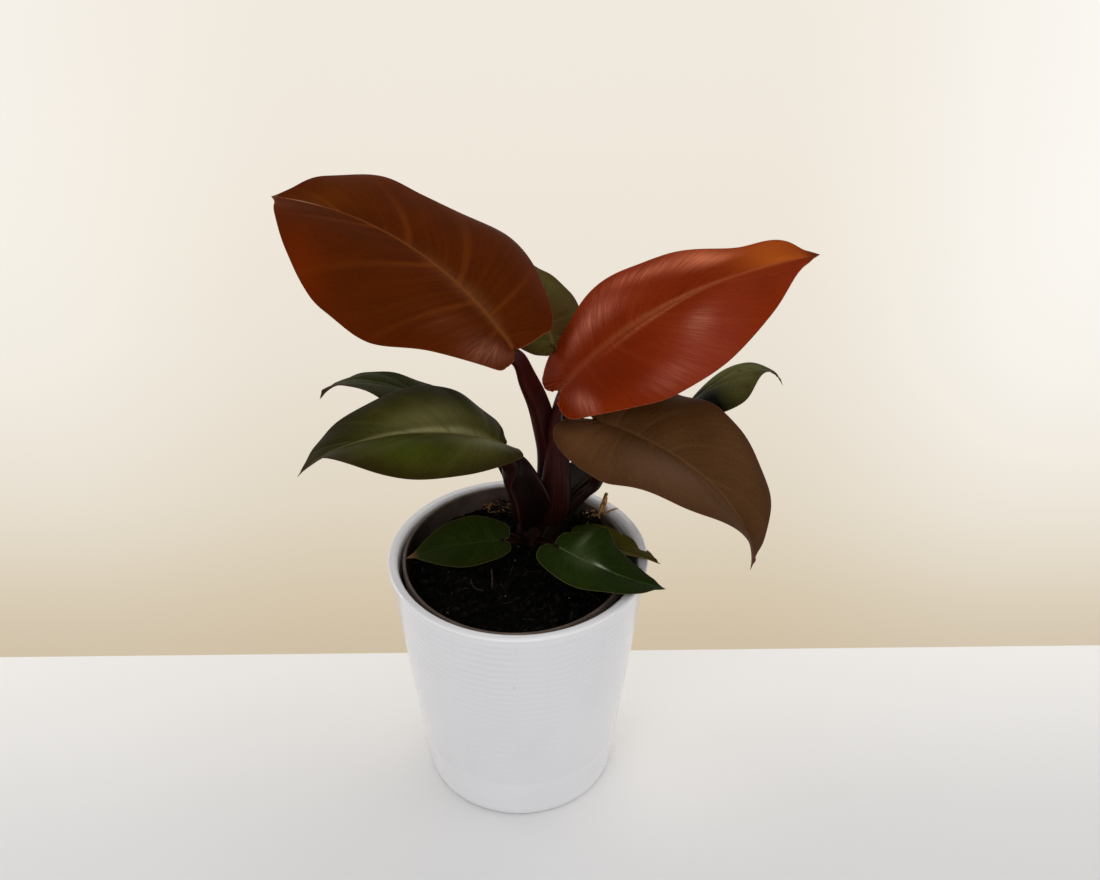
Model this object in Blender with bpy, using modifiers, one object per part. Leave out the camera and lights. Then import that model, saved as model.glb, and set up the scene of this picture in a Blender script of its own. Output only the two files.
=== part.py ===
"""Potted philodendron: a glazed pot, a nursery pot with soil, and a crown of ten stalked leaves.

The origin is the middle of the glazed pot's flat foot, +Z is up, and all sizes are in metres.
"""

import math
import random
from dataclasses import dataclass

import bmesh
import bpy
from mathutils import Vector

# Gap between pieces that touch

GAP = 0.0003

# Modelling steps

MERGE = 0.00001
TURN_STEPS = 48
SMOOTH_ANGLE = math.radians(40)

# Glazed pot

POT_HEIGHT = 0.144
POT_RIM_RADIUS = 0.070
POT_FOOT_RADIUS = 0.053
POT_WALL = 0.0056
POT_FLOOR = 0.006
POT_LIP_ROUNDING = 0.0024
POT_EDGE_ROUNDING = 0.002
RIM_BAND_HEIGHT = 0.010
FOOT_BAND_HEIGHT = 0.018
BAND_STEP = 0.0006

# Nursery pot, pushed to the left inside the glazed one

NURSERY_X = -0.0033
NURSERY_Y = 0.0018
NURSERY_TOP = 0.141
NURSERY_RIM_RADIUS = 0.0595
NURSERY_FOOT_RADIUS = 0.041
NURSERY_WALL = 0.0012
NURSERY_ROLL_HEIGHT = 0.005
NURSERY_ROLL_DEPTH = 0.0022
DRAIN_HOLES = 5
DRAIN_HOLE_RADIUS = 0.0045
DRAIN_RING_RADIUS = 0.029

# Soil

SOIL_LEVEL = 0.127
SOIL_RISE_TO_BACK = 0.07
SOIL_RISE_TO_RIGHT = 0.03
SOIL_LUMP = 0.0007
SOIL_RINGS = 9
SOIL_CLODS = 12
CLOD_RADIUS = 0.0022
CLOD_SIZES = (0.7, 1.3)
CLOD_REACHES = (0.35, 0.86)
CLOD_SCATTER = 0.7
CLOD_SEED = 11

# Crown, the short stem that the stalks leave

CROWN_X = 0.006
CROWN_Y = 0.027
CROWN_RADIUS = 0.0085
CROWN_FOOT = 0.100
CROWN_SHOULDER = 0.136
CROWN_TOP = 0.152
CROWN_TIP_RADIUS = 0.005
CROWN_NECK_RADIUS = 0.0068

# Leaves

BLADE_THICKNESS = 0.0008
WAVE_SPAN = 0.4
VEIN_SWEEP = 1.7
MIDRIB_STEPS = 60
SWEEP_GROWTH = 1.2
STALK_SIDES = 12
STALK_RINGS_PER_POINT = 4
STALK_FLATNESS = 0.82
STALK_FOOT_AHEAD = 0.0015
STALK_OVERSHOOT = 0.004
STALK_TAPER = 0.6
STALK_CUT_REACH = 0.02
TRAVEL_STEP = 0.01
CHANNEL_DEPTH = 0.30
SCALE_THICKNESS = 0.0009
SCALE_CUP = 50.0
SCALE_FOOT_WIDTH_PHASE = 0.3
SCALE_FULLNESS = 0.7


@dataclass(frozen=True)
class Leaf:
    """One leaf: where its blade is joined to its stalk, how the blade lies, and its outline.

    Angles are in degrees. heading turns from +X towards +Y and sweep is its change along the midrib;
    rise is the midrib's slope at the joint and droop is what it loses by the tip. roll lifts the
    left half of the blade and twist adds to it along the blade. fold is the angle of each half
    above the flat and curl is how far a half turns back down towards its edge. The outline's ratios are
    half widths at fixed stations, and skew makes the left half the wider one.
    """

    name: str
    joint: tuple
    route: tuple
    heading: float
    sweep: float
    rise: float
    droop: float
    bend: float
    roll: float
    twist: float
    length: float
    width: float
    fold: float
    curl: float
    lobe: float = 0.08
    skew: float = 0.0
    shoulder: float = 0.86
    middle: float = 0.90
    far: float = 0.58
    tip: float = 0.27
    wave_left: tuple = (0.0, 0.35)
    wave_right: tuple = (0.0, 0.35)
    rows: int = 16
    half_columns: int = 4
    foot_width: float = 0.011
    top_width: float = 0.006
    colour: tuple = (0.10, 0.12, 0.05)


LEAVES = (
    Leaf(
        name="upper_left",
        joint=(0.000, 0.004, 0.276),
        route=(
            (0.011, 0.029, 0.142), (0.018, 0.031, 0.162), (0.016, 0.030, 0.186),
            (0.013, 0.026, 0.210), (0.008, 0.015, 0.240),
        ),
        heading=136, sweep=18, rise=19, droop=18, bend=1.4, roll=-4, twist=-18,
        length=0.168, width=0.100, fold=15, curl=35,
        skew=0.07, shoulder=0.68, middle=0.98, far=0.73, tip=0.37,
        wave_left=(-0.006, 0.33), wave_right=(0.001, 0.32),
        foot_width=0.014, top_width=0.0065, colour=(0.13, 0.035, 0.012),
    ),
    Leaf(
        name="lower_left",
        joint=(-0.008, 0.009, 0.210),
        route=((0.007, 0.022, 0.144), (0.011, 0.020, 0.160), (0.009, 0.018, 0.172), (0.003, 0.014, 0.188)),
        heading=212, sweep=-56, rise=35, droop=93, bend=1.25, roll=-9, twist=8,
        length=0.123, width=0.070, fold=26, curl=44,
        lobe=0.05, skew=0.04, shoulder=0.69, middle=0.89, far=0.43, tip=0.32,
        wave_left=(-0.003, 0.46), wave_right=(0.003, 0.22),
        foot_width=0.0145, top_width=0.0085, colour=(0.035, 0.055, 0.012),
    ),
    Leaf(
        name="lower_right",
        joint=(0.037, 0.013, 0.223),
        route=(
            (0.010, 0.025, 0.143), (0.019, 0.024, 0.154), (0.031, 0.025, 0.166),
            (0.043, 0.025, 0.180), (0.044, 0.021, 0.202),
        ),
        heading=-29, sweep=6, rise=-4, droop=101, bend=2.2, roll=32, twist=-40,
        length=0.130, width=0.073, fold=29, curl=25,
        lobe=0.09, skew=-0.03, middle=0.89, far=0.55, tip=0.29,
        wave_left=(-0.006, 0.25), wave_right=(0.002, 0.38),
        foot_width=0.010, top_width=0.0070, colour=(0.085, 0.05, 0.028),
    ),
    Leaf(
        name="upper_right",
        joint=(0.023, 0.025, 0.236),
        route=((0.013, 0.034, 0.142), (0.022, 0.040, 0.164), (0.023, 0.041, 0.188), (0.021, 0.035, 0.214)),
        heading=8, sweep=19, rise=48, droop=54, bend=1.0, roll=11, twist=2,
        length=0.158, width=0.092, fold=7, curl=29,
        lobe=0.06, skew=-0.10, shoulder=0.65, middle=0.91, far=0.52, tip=0.22,
        wave_left=(0.009, 0.24),
        foot_width=0.0125, top_width=0.0065, colour=(0.24, 0.05, 0.02),
    ),
    Leaf(
        name="back",
        joint=(0.010, 0.056, 0.240),
        route=((0.010, 0.036, 0.142), (0.018, 0.052, 0.164), (0.014, 0.060, 0.193), (0.011, 0.061, 0.222)),
        heading=128, sweep=5, rise=28, droop=20, bend=1.4, roll=-15, twist=5,
        length=0.088, width=0.062, fold=8, curl=22,
        rows=12, half_columns=3, foot_width=0.009, top_width=0.005, colour=(0.085, 0.09, 0.06),
    ),
    Leaf(
        name="back_left",
        joint=(-0.020, 0.035, 0.200),
        route=((0.004, 0.028, 0.142), (0.001, 0.031, 0.157), (-0.006, 0.035, 0.174), (-0.013, 0.037, 0.188)),
        heading=157, sweep=14, rise=30, droop=60, bend=1.4, roll=13, twist=5,
        length=0.100, width=0.056, fold=12, curl=23,
        rows=12, half_columns=3, foot_width=0.0105, top_width=0.006, colour=(0.03, 0.05, 0.02),
    ),
    Leaf(
        name="back_right",
        joint=(0.065, 0.041, 0.191),
        route=((0.012, 0.032, 0.145), (0.026, 0.036, 0.157), (0.044, 0.040, 0.167), (0.059, 0.041, 0.177)),
        heading=27, sweep=12, rise=31, droop=96, bend=2.4, roll=-17, twist=-5,
        length=0.115, width=0.060, fold=14, curl=40,
        far=0.52, tip=0.18,
        rows=12, half_columns=3, foot_width=0.010, top_width=0.006, colour=(0.07, 0.10, 0.07),
    ),
    Leaf(
        name="small_left",
        joint=(-0.008, 0.007, 0.150),
        route=((0.003, 0.024, 0.137), (-0.002, 0.015, 0.145)),
        heading=194, sweep=-2, rise=3, droop=18, bend=1.4, roll=-21, twist=3,
        length=0.054, width=0.030, fold=13, curl=16,
        shoulder=0.81, middle=0.93, tip=0.22,
        rows=10, half_columns=3, foot_width=0.0045, top_width=0.0032, colour=(0.02, 0.045, 0.015),
    ),
    Leaf(
        name="small_front",
        joint=(0.024, 0.001, 0.154),
        route=((0.008, 0.022, 0.140), (0.016, 0.012, 0.149)),
        heading=-63, sweep=56, rise=4, droop=10, bend=1.4, roll=19, twist=-40,
        length=0.071, width=0.043, fold=9, curl=26,
        lobe=0.07, skew=0.04, shoulder=0.91, middle=0.89, far=0.62, tip=0.25,
        wave_left=(-0.001, 0.33), wave_right=(-0.0015, 0.35),
        rows=12, half_columns=3, foot_width=0.0042, top_width=0.0032, colour=(0.03, 0.065, 0.025),
    ),
    Leaf(
        name="small_right",
        joint=(0.026, 0.025, 0.139),
        route=((0.011, 0.028, 0.138), (0.019, 0.027, 0.137)),
        heading=-35, sweep=3, rise=15, droop=20, bend=1.4, roll=-9, twist=-15,
        length=0.061, width=0.030, fold=15, curl=17,
        wave_left=(0.001, 0.32),
        rows=10, half_columns=3, foot_width=0.0042, top_width=0.0032, colour=(0.10, 0.12, 0.02),
    ),
)


@dataclass(frozen=True)
class Scale:
    """A short sheath leaf that stands at the crown's side, cupped towards its heading in degrees."""

    name: str
    foot: tuple
    tip: tuple
    width: float
    heading: float
    colour: tuple


SCALES = (
    Scale("green_scale", (0.012, 0.023, 0.138), (0.026, 0.023, 0.153), 0.0075, -50, (0.02, 0.04, 0.015)),
    Scale("brown_scale", (0.001, 0.023, 0.136), (-0.005, 0.018, 0.146), 0.0045, 230, (0.16, 0.07, 0.04)),
)


# Scene, collections and materials


def clear_scene():
    for obj in list(bpy.data.objects):
        bpy.data.objects.remove(obj, do_unlink=True)


def new_collection(name):
    collection = bpy.data.collections.new(name)
    bpy.context.scene.collection.children.link(collection)
    return collection


def principled(name, colour, roughness, metallic=0.0):
    material = bpy.data.materials.new(name)
    material.use_nodes = True
    shader = material.node_tree.nodes["Principled BSDF"]
    shader.inputs["Base Color"].default_value = (*colour, 1.0)
    shader.inputs["Roughness"].default_value = roughness
    shader.inputs["Metallic"].default_value = metallic
    return material


def mesh_object(name, bm, collection, material=None):
    """Turns a bmesh into an object, shaded smooth up to 40 degrees."""
    mesh = bpy.data.meshes.new(name)
    bm.to_mesh(mesh)
    bm.free()
    mesh.shade_smooth()
    mesh.set_sharp_from_angle(angle=SMOOTH_ANGLE)
    obj = bpy.data.objects.new(name, mesh)
    collection.objects.link(obj)
    if material:
        mesh.materials.append(material)
    return obj


def hide_cutter(obj):
    obj.hide_render = True
    obj.display_type = "WIRE"
    return obj


def subtract(obj, cutter):
    cut = obj.modifiers.new("cut_" + cutter.name, "BOOLEAN")
    cut.operation = "DIFFERENCE"
    cut.object = hide_cutter(cutter)
    return cut


def unite(obj, collection):
    join = obj.modifiers.new("join", "BOOLEAN")
    join.operation = "UNION"
    join.operand_type = "COLLECTION"
    join.collection = collection
    return join


def apply_modifiers(obj):
    """Replaces the object's mesh with its evaluated one."""
    depsgraph = bpy.context.evaluated_depsgraph_get()
    mesh = bpy.data.meshes.new_from_object(obj.evaluated_get(depsgraph))
    obj.modifiers.clear()
    obj.data = mesh


def keep_largest_body(obj):
    """Drops the loose scraps that a cut leaves beside the main body."""
    bm = bmesh.new()
    bm.from_mesh(obj.data)
    bmesh.ops.remove_doubles(bm, verts=bm.verts, dist=MERGE)
    left = set(bm.verts)
    bodies = []
    while left:
        body = set()
        waiting = [left.pop()]
        while waiting:
            vertex = waiting.pop()
            body.add(vertex)
            for edge in vertex.link_edges:
                other = edge.other_vert(vertex)
                if other in left:
                    left.discard(other)
                    waiting.append(other)
        bodies.append(body)
    largest = max(bodies, key=len)
    scraps = [vertex for vertex in bm.verts if vertex not in largest]
    bmesh.ops.delete(bm, geom=scraps, context="VERTS")
    bm.to_mesh(obj.data)
    bm.free()


# Turned shapes


def arc(centre_x, centre_z, radius, start, end, steps=4):
    """Points of a round edge in the turning plane, from one angle to another in degrees."""
    points = []
    for step in range(steps + 1):
        angle = math.radians(start + (end - start) * step / steps)
        points.append((centre_x + radius * math.cos(angle), centre_z + radius * math.sin(angle)))
    return points


def turned(name, profile, collection, material, centre=(0.0, 0.0)):
    """Screws a profile of (radius, height) points about a vertical axis."""
    bm = bmesh.new()
    corners = [bm.verts.new((radius, 0.0, height)) for radius, height in profile]
    for first, second in zip(corners, corners[1:]):
        bm.edges.new((first, second))
    obj = mesh_object(name, bm, collection, material)
    obj.location = (centre[0], centre[1], 0.0)
    screw = obj.modifiers.new("turn", "SCREW")
    screw.steps = TURN_STEPS
    screw.render_steps = TURN_STEPS
    screw.use_merge_vertices = True
    screw.merge_threshold = MERGE
    screw.use_smooth_shade = True
    return obj


def pot_radius(height):
    """Outer radius of the glazed pot's straight sloping side."""
    return POT_FOOT_RADIUS + (POT_RIM_RADIUS - POT_FOOT_RADIUS) * height / POT_HEIGHT


def glazed_pot(collection):
    lip = POT_LIP_ROUNDING
    edge = POT_EDGE_ROUNDING
    inner_floor = pot_radius(POT_FLOOR) - POT_WALL
    inner_top = POT_RIM_RADIUS - POT_WALL
    band_foot = POT_HEIGHT - RIM_BAND_HEIGHT
    profile = [(0.0, POT_FLOOR)]
    profile += arc(inner_floor - edge, POT_FLOOR + edge, edge, -90, 0, 3)
    profile += arc(inner_top + lip, POT_HEIGHT - lip, lip, 180, 90)
    profile += arc(POT_RIM_RADIUS - lip, POT_HEIGHT - lip, lip, 90, 0)
    profile += [
        (pot_radius(band_foot), band_foot),
        (pot_radius(band_foot) - BAND_STEP, band_foot - BAND_STEP),
        (pot_radius(FOOT_BAND_HEIGHT) - BAND_STEP, FOOT_BAND_HEIGHT + BAND_STEP),
        (pot_radius(FOOT_BAND_HEIGHT), FOOT_BAND_HEIGHT),
    ]
    profile += arc(POT_FOOT_RADIUS - edge, edge, edge, 0, -90, 3)
    profile += [(0.0, 0.0)]
    glaze = principled("white_glaze", (0.80, 0.80, 0.80), 0.15)
    return turned("glazed_pot", profile, collection, glaze)


def nursery_radius(height):
    """Outer radius of the nursery pot's sloping side."""
    top_radius = NURSERY_RIM_RADIUS - NURSERY_ROLL_DEPTH
    slope = (top_radius - NURSERY_FOOT_RADIUS) / (NURSERY_TOP - POT_FLOOR)
    return NURSERY_FOOT_RADIUS + slope * (height - POT_FLOOR)


def nursery_pot(collection, cutters):
    foot = POT_FLOOR + GAP
    floor = foot + NURSERY_WALL
    roll_foot = NURSERY_TOP - NURSERY_ROLL_HEIGHT
    roll = NURSERY_WALL
    profile = [
        (0.0, floor),
        (nursery_radius(floor) - NURSERY_WALL, floor),
        (nursery_radius(NURSERY_TOP) - NURSERY_WALL, NURSERY_TOP - roll),
    ]
    profile += arc(NURSERY_RIM_RADIUS - roll, NURSERY_TOP - roll, roll, 90, 0, 3)
    profile += [
        (NURSERY_RIM_RADIUS, roll_foot),
        (nursery_radius(roll_foot), roll_foot),
        (NURSERY_FOOT_RADIUS, foot),
        (0.0, foot),
    ]
    plastic = principled("taupe_plastic", (0.16, 0.14, 0.13), 0.5)
    pot = turned("nursery_pot", profile, collection, plastic, (NURSERY_X, NURSERY_Y))
    for hole in range(DRAIN_HOLES):
        angle = math.tau * hole / DRAIN_HOLES
        bm = bmesh.new()
        bmesh.ops.create_cone(
            bm, cap_ends=True, segments=12, depth=NURSERY_WALL * 6,
            radius1=DRAIN_HOLE_RADIUS, radius2=DRAIN_HOLE_RADIUS,
        )
        drill = mesh_object(f"drain_drill_{hole + 1}", bm, cutters)
        drill.location = (
            NURSERY_X + DRAIN_RING_RADIUS * math.cos(angle),
            NURSERY_Y + DRAIN_RING_RADIUS * math.sin(angle),
            foot,
        )
        subtract(pot, drill)
    return pot


# Soil


def soil_height(x, y):
    """Height of the soil's top: higher at the back and right, with low lumps."""
    lumps = math.sin(x * 310 + 1.0) * math.cos(y * 270) + 0.6 * math.sin(x * 170 - y * 420)
    return SOIL_LEVEL + SOIL_RISE_TO_BACK * y + SOIL_RISE_TO_RIGHT * x + SOIL_LUMP * lumps


def soil(collection, cutters, clods):
    foot = POT_FLOOR + NURSERY_WALL + 2 * GAP
    inner_foot = nursery_radius(foot) - NURSERY_WALL - GAP
    inner_top = nursery_radius(SOIL_LEVEL) - NURSERY_WALL - GAP
    profile = [(0.0, SOIL_LEVEL)]
    profile += [(inner_top * ring / SOIL_RINGS, SOIL_LEVEL) for ring in range(1, SOIL_RINGS + 1)]
    profile += [(inner_foot, foot), (0.0, foot)]
    peat = principled("peat", (0.012, 0.009, 0.007), 0.95)
    body = turned("soil", profile, collection, peat, (NURSERY_X, NURSERY_Y))
    apply_modifiers(body)
    for vertex in body.data.vertices:
        if vertex.co.z > SOIL_LEVEL - MERGE:
            top = soil_height(vertex.co.x + NURSERY_X, vertex.co.y + NURSERY_Y)
            narrowing = (nursery_radius(top) - nursery_radius(SOIL_LEVEL)) * vertex.co.xy.length / inner_top
            vertex.co.xy *= 1 + narrowing / inner_top
            vertex.co.z = top
    draw = random.Random(CLOD_SEED)
    for clod in range(SOIL_CLODS):
        angle = math.tau * (clod + draw.random() * CLOD_SCATTER) / SOIL_CLODS
        reach = inner_top * draw.uniform(*CLOD_REACHES)
        bm = bmesh.new()
        bmesh.ops.create_icosphere(bm, subdivisions=1, radius=CLOD_RADIUS * draw.uniform(*CLOD_SIZES))
        lump = mesh_object(f"clod_{clod + 1}", bm, clods)
        x = NURSERY_X + reach * math.cos(angle)
        y = NURSERY_Y + reach * math.sin(angle)
        lump.location = (x, y, soil_height(x, y))
        lump.rotation_euler = [draw.uniform(0.0, math.pi) for _ in range(3)]
        hide_cutter(lump)
    unite(body, clods)
    bm = bmesh.new()
    bmesh.ops.create_cone(
        bm, cap_ends=True, segments=TURN_STEPS // 2, depth=CROWN_TOP - CROWN_FOOT + 2 * GAP,
        radius1=CROWN_RADIUS + GAP, radius2=CROWN_RADIUS + GAP,
    )
    drill = mesh_object("crown_drill", bm, cutters)
    drill.location = (CROWN_X, CROWN_Y, (CROWN_TOP + CROWN_FOOT) / 2)
    subtract(body, drill)
    return body


# Leaf shape


def smooth_point(points, ratio):
    """Point at a ratio of 0 to 1 along a smooth curve through the given points."""
    last = len(points) - 1
    place = min(max(ratio, 0.0), 1.0) * last
    index = min(int(place), last - 1)
    part = place - index
    vectors = [Vector(point) for point in points]
    before = vectors[index - 1] if index > 0 else 2 * vectors[0] - vectors[1]
    start, end = vectors[index], vectors[index + 1]
    after = vectors[index + 2] if index + 2 <= last else 2 * vectors[last] - vectors[last - 1]
    return 0.5 * (
        2 * start
        + (end - before) * part
        + (2 * before - 5 * start + 4 * end - after) * part ** 2
        + (3 * start - before - 3 * end + after) * part ** 3
    )


def outline_point(leaf, ratio):
    """Half outline of the flat blade as (half width, distance along), both as ratios, joint to tip."""
    base = leaf.shoulder
    stations = (
        (0.0, 0.0), (0.16 * base, -0.8 * leaf.lobe), (0.5 * base, -leaf.lobe),
        (0.82 * base, -0.3 * leaf.lobe), (0.5 * base + 0.5, 0.14), (1.0, 0.32),
        (leaf.middle, 0.54), (leaf.far, 0.75), (leaf.tip, 0.89), (0.3 * leaf.tip, 0.96), (0.0, 1.0),
    )
    return smooth_point(stations, ratio)


class Midrib:
    """The blade's middle line in space, with the directions of travel, left and up along it."""

    def __init__(self, leaf):
        self.leaf = leaf
        self.points = [Vector(leaf.joint)]
        step = leaf.length / MIDRIB_STEPS
        for index in range(MIDRIB_STEPS):
            ahead = self.travel((index + 0.5) / MIDRIB_STEPS)
            self.points.append(self.points[-1] + ahead * step)

    def azimuth(self, ratio):
        return math.radians(self.leaf.heading + self.leaf.sweep * max(ratio, 0.0) ** SWEEP_GROWTH)

    def travel(self, ratio):
        slope = math.radians(self.leaf.rise - self.leaf.droop * max(ratio, 0.0) ** self.leaf.bend)
        azimuth = self.azimuth(ratio)
        flat = math.cos(slope)
        return Vector((flat * math.cos(azimuth), flat * math.sin(azimuth), math.sin(slope)))

    def frame(self, ratio):
        """Point, travel, left and up at a ratio of the length; behind the joint it runs straight."""
        held = min(max(ratio, 0.0), 1.0)
        place = held * MIDRIB_STEPS
        index = min(int(place), MIDRIB_STEPS - 1)
        ahead = self.travel(held)
        point = self.points[index].lerp(self.points[index + 1], place - index)
        point = point + ahead * min(ratio, 0.0) * self.leaf.length
        azimuth = self.azimuth(held)
        level = Vector((-math.sin(azimuth), math.cos(azimuth), 0.0))
        roll = math.radians(self.leaf.roll + self.leaf.twist * held)
        above = ahead.cross(level)
        left = level * math.cos(roll) + above * math.sin(roll)
        return point, ahead, left, ahead.cross(left)


def blade_point(leaf, midrib, across, along):
    """Place in space of a point of the flat blade: across is -1 to 1, the left side being above 0."""
    point, _, left, up = midrib.frame(along)
    side = 1 if across > 0 else -1
    reach = abs(across)
    half = leaf.width / 2
    fold = math.radians(leaf.fold)
    curl = math.radians(leaf.curl)
    lateral = half * (math.sin(fold) - math.sin(fold - curl * reach)) / curl
    lift = half * (math.cos(fold - curl * reach) - math.cos(fold)) / curl
    depth, station = leaf.wave_left if side > 0 else leaf.wave_right
    phase = min(max((along - station) / WAVE_SPAN, -0.5), 0.5)
    lift += depth * reach ** 2 * math.cos(math.pi * phase) ** 2
    return point + left * lateral * side + up * lift


def blade(leaf, midrib, collection):
    """A grid whose rows run along the side veins, bent into the blade and thickened."""
    columns = 2 * leaf.half_columns
    bm = bmesh.new()
    bmesh.ops.create_grid(bm, x_segments=columns, y_segments=leaf.rows, size=1.0)
    for vertex in bm.verts:
        ratio = (vertex.co.y + 1) / 2
        edge = outline_point(leaf, ratio)
        root = ratio ** VEIN_SWEEP
        reach = abs(vertex.co.x)
        side = -1 if vertex.co.x > 0 else 1
        across = edge.x * reach * side * (1 + leaf.skew * side)
        along = root + (edge.y - root) * reach
        vertex.co = blade_point(leaf, midrib, across, along)
    bmesh.ops.remove_doubles(bm, verts=bm.verts, dist=MERGE)
    bmesh.ops.triangulate(bm, faces=bm.faces)
    material = principled("blade_" + leaf.name, leaf.colour, 0.42)
    obj = mesh_object("blade_" + leaf.name, bm, collection, material)
    shell = obj.modifiers.new("thickness", "SOLIDIFY")
    shell.thickness = BLADE_THICKNESS
    shell.offset = 0.0
    return obj


def stalk(leaf, midrib, collection, material, grow=0.0, name=None):
    """A tapering, channelled stalk from the crown to the underside of its blade, cut to lie under it."""
    _, ahead, left, up = midrib.frame(0.0)
    joint = Vector(leaf.joint) + ahead * STALK_FOOT_AHEAD
    points = [Vector(point) for point in leaf.route] + [joint]
    rings = STALK_RINGS_PER_POINT * len(points)
    heading = math.radians(leaf.heading)
    level = Vector((-math.sin(heading), math.cos(heading), 0.0))
    bm = bmesh.new()
    bmesh.ops.create_grid(bm, x_segments=STALK_SIDES, y_segments=rings, size=1.0)
    for vertex in bm.verts:
        ratio = (vertex.co.y + 1) / 2
        centre = smooth_point(points, ratio)
        travel = smooth_point(points, ratio + TRAVEL_STEP) - smooth_point(points, ratio - TRAVEL_STEP)
        travel.normalize()
        across = (level - travel * level.dot(travel)).normalized()
        inner = travel.cross(across)
        turn = math.pi * vertex.co.x
        taper = max(1 - ratio, 0.0) ** STALK_TAPER
        half = (leaf.top_width + (leaf.foot_width - leaf.top_width) * taper) / 2
        channel = CHANNEL_DEPTH * taper * max(math.cos(turn), 0.0) ** 4
        reach_in = half * (STALK_FLATNESS - channel) + grow
        reach_across = half + grow
        vertex.co = centre + inner * math.cos(turn) * reach_in + across * math.sin(turn) * reach_across
        if ratio > 1 - MERGE:
            vertex.co += up * STALK_OVERSHOOT
        if ratio < MERGE:
            vertex.co -= travel * grow
    bmesh.ops.remove_doubles(bm, verts=bm.verts, dist=MERGE)
    bmesh.ops.holes_fill(bm, edges=bm.edges, sides=0)
    underside = Vector(leaf.joint) - up * (BLADE_THICKNESS / 2 + GAP - grow)
    near = {vertex for vertex in bm.verts if (vertex.co - joint).length < STALK_CUT_REACH}
    end = [item for item in bm.edges[:] + bm.faces[:] if near.issuperset(item.verts)]
    cut = bmesh.ops.bisect_plane(
        bm, geom=list(near) + end, plane_co=underside, plane_no=up, clear_outer=True,
    )
    rim = [item for item in cut["geom_cut"] if isinstance(item, bmesh.types.BMEdge)]
    bmesh.ops.holes_fill(bm, edges=rim, sides=0)
    bmesh.ops.triangulate(bm, faces=[face for face in bm.faces if len(face.verts) > 4])
    bmesh.ops.recalc_face_normals(bm, faces=bm.faces)
    return mesh_object(name or "stalk_" + leaf.name, bm, collection, material)


def crown(collection, material, grow=0.0, name="crown"):
    """A short round stem, straight in the soil and domed above it."""
    top = CROWN_TOP + grow
    middle = (CROWN_SHOULDER + CROWN_TOP) / 2
    profile = [
        (0.0, top),
        (CROWN_TIP_RADIUS + grow, top),
        (CROWN_NECK_RADIUS + grow, middle),
        (CROWN_RADIUS + grow, CROWN_SHOULDER),
        (CROWN_RADIUS + grow, CROWN_FOOT - grow),
        (0.0, CROWN_FOOT - grow),
    ]
    obj = turned(name, profile, collection, material, (CROWN_X, CROWN_Y))
    obj.modifiers["turn"].steps = TURN_STEPS // 2
    obj.modifiers["turn"].render_steps = TURN_STEPS // 2
    return obj


def scale(item, collection):
    """A small pointed shell, cupped along its middle."""
    foot, tip = Vector(item.foot), Vector(item.tip)
    travel = (tip - foot).normalized()
    heading = math.radians(item.heading)
    outward = Vector((math.cos(heading), math.sin(heading), 0.0))
    across = travel.cross(outward).normalized()
    outward = across.cross(travel)
    bm = bmesh.new()
    bmesh.ops.create_grid(bm, x_segments=4, y_segments=5, size=1.0)
    for vertex in bm.verts:
        ratio = (vertex.co.y + 1) / 2
        phase = SCALE_FOOT_WIDTH_PHASE + (1 - SCALE_FOOT_WIDTH_PHASE) * ratio
        half = item.width / 2 * abs(math.sin(math.pi * phase)) ** SCALE_FULLNESS
        angle = math.radians(SCALE_CUP) * vertex.co.x
        back = outward * (1 - math.cos(angle))
        vertex.co = foot.lerp(tip, ratio) + (across * math.sin(angle) - back) * half
    bmesh.ops.remove_doubles(bm, verts=bm.verts, dist=MERGE)
    bmesh.ops.triangulate(bm, faces=bm.faces)
    obj = mesh_object(item.name, bm, collection, principled(item.name, item.colour, 0.55))
    shell = obj.modifiers.new("thickness", "SOLIDIFY")
    shell.thickness = SCALE_THICKNESS
    shell.offset = 0.0
    return obj


def plant(collection, cutters):
    """The crown, and for each leaf its blade and its stalk, each stalk hollowed round those before it."""
    flesh = principled("stalk_maroon", (0.055, 0.010, 0.012), 0.4)
    crown(collection, flesh)
    guides = [crown(cutters, None, grow=GAP, name="crown_guide")]
    apply_modifiers(guides[0])
    for leaf in LEAVES:
        midrib = Midrib(leaf)
        blade(leaf, midrib, collection)
        piece = stalk(leaf, midrib, collection, flesh)
        for guide in guides:
            subtract(piece, guide)
        apply_modifiers(piece)
        keep_largest_body(piece)
        guides.append(stalk(leaf, midrib, cutters, None, grow=GAP, name="guide_" + leaf.name))
    for item in SCALES:
        piece = scale(item, collection)
        for guide in guides:
            subtract(piece, guide)
        apply_modifiers(piece)
        keep_largest_body(piece)


def main():
    clear_scene()
    parts = new_collection("potted_philodendron")
    cutters = new_collection("cutters")
    clods = new_collection("clods")
    glazed_pot(parts)
    nursery_pot(parts, cutters)
    soil(parts, cutters, clods)
    plant(parts, cutters)


main()
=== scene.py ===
"""Looks of the potted philodendron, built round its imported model.

Everything is in metres, in the model's own frame: the origin is the middle of the glazed pot's foot, +Z is
up, +X is to the picture's right and +Y points away from the camera.
"""

import logging
import math
import random
from dataclasses import dataclass
from enum import Enum

import bmesh
import bpy
from mathutils import Matrix, Vector, noise


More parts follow.
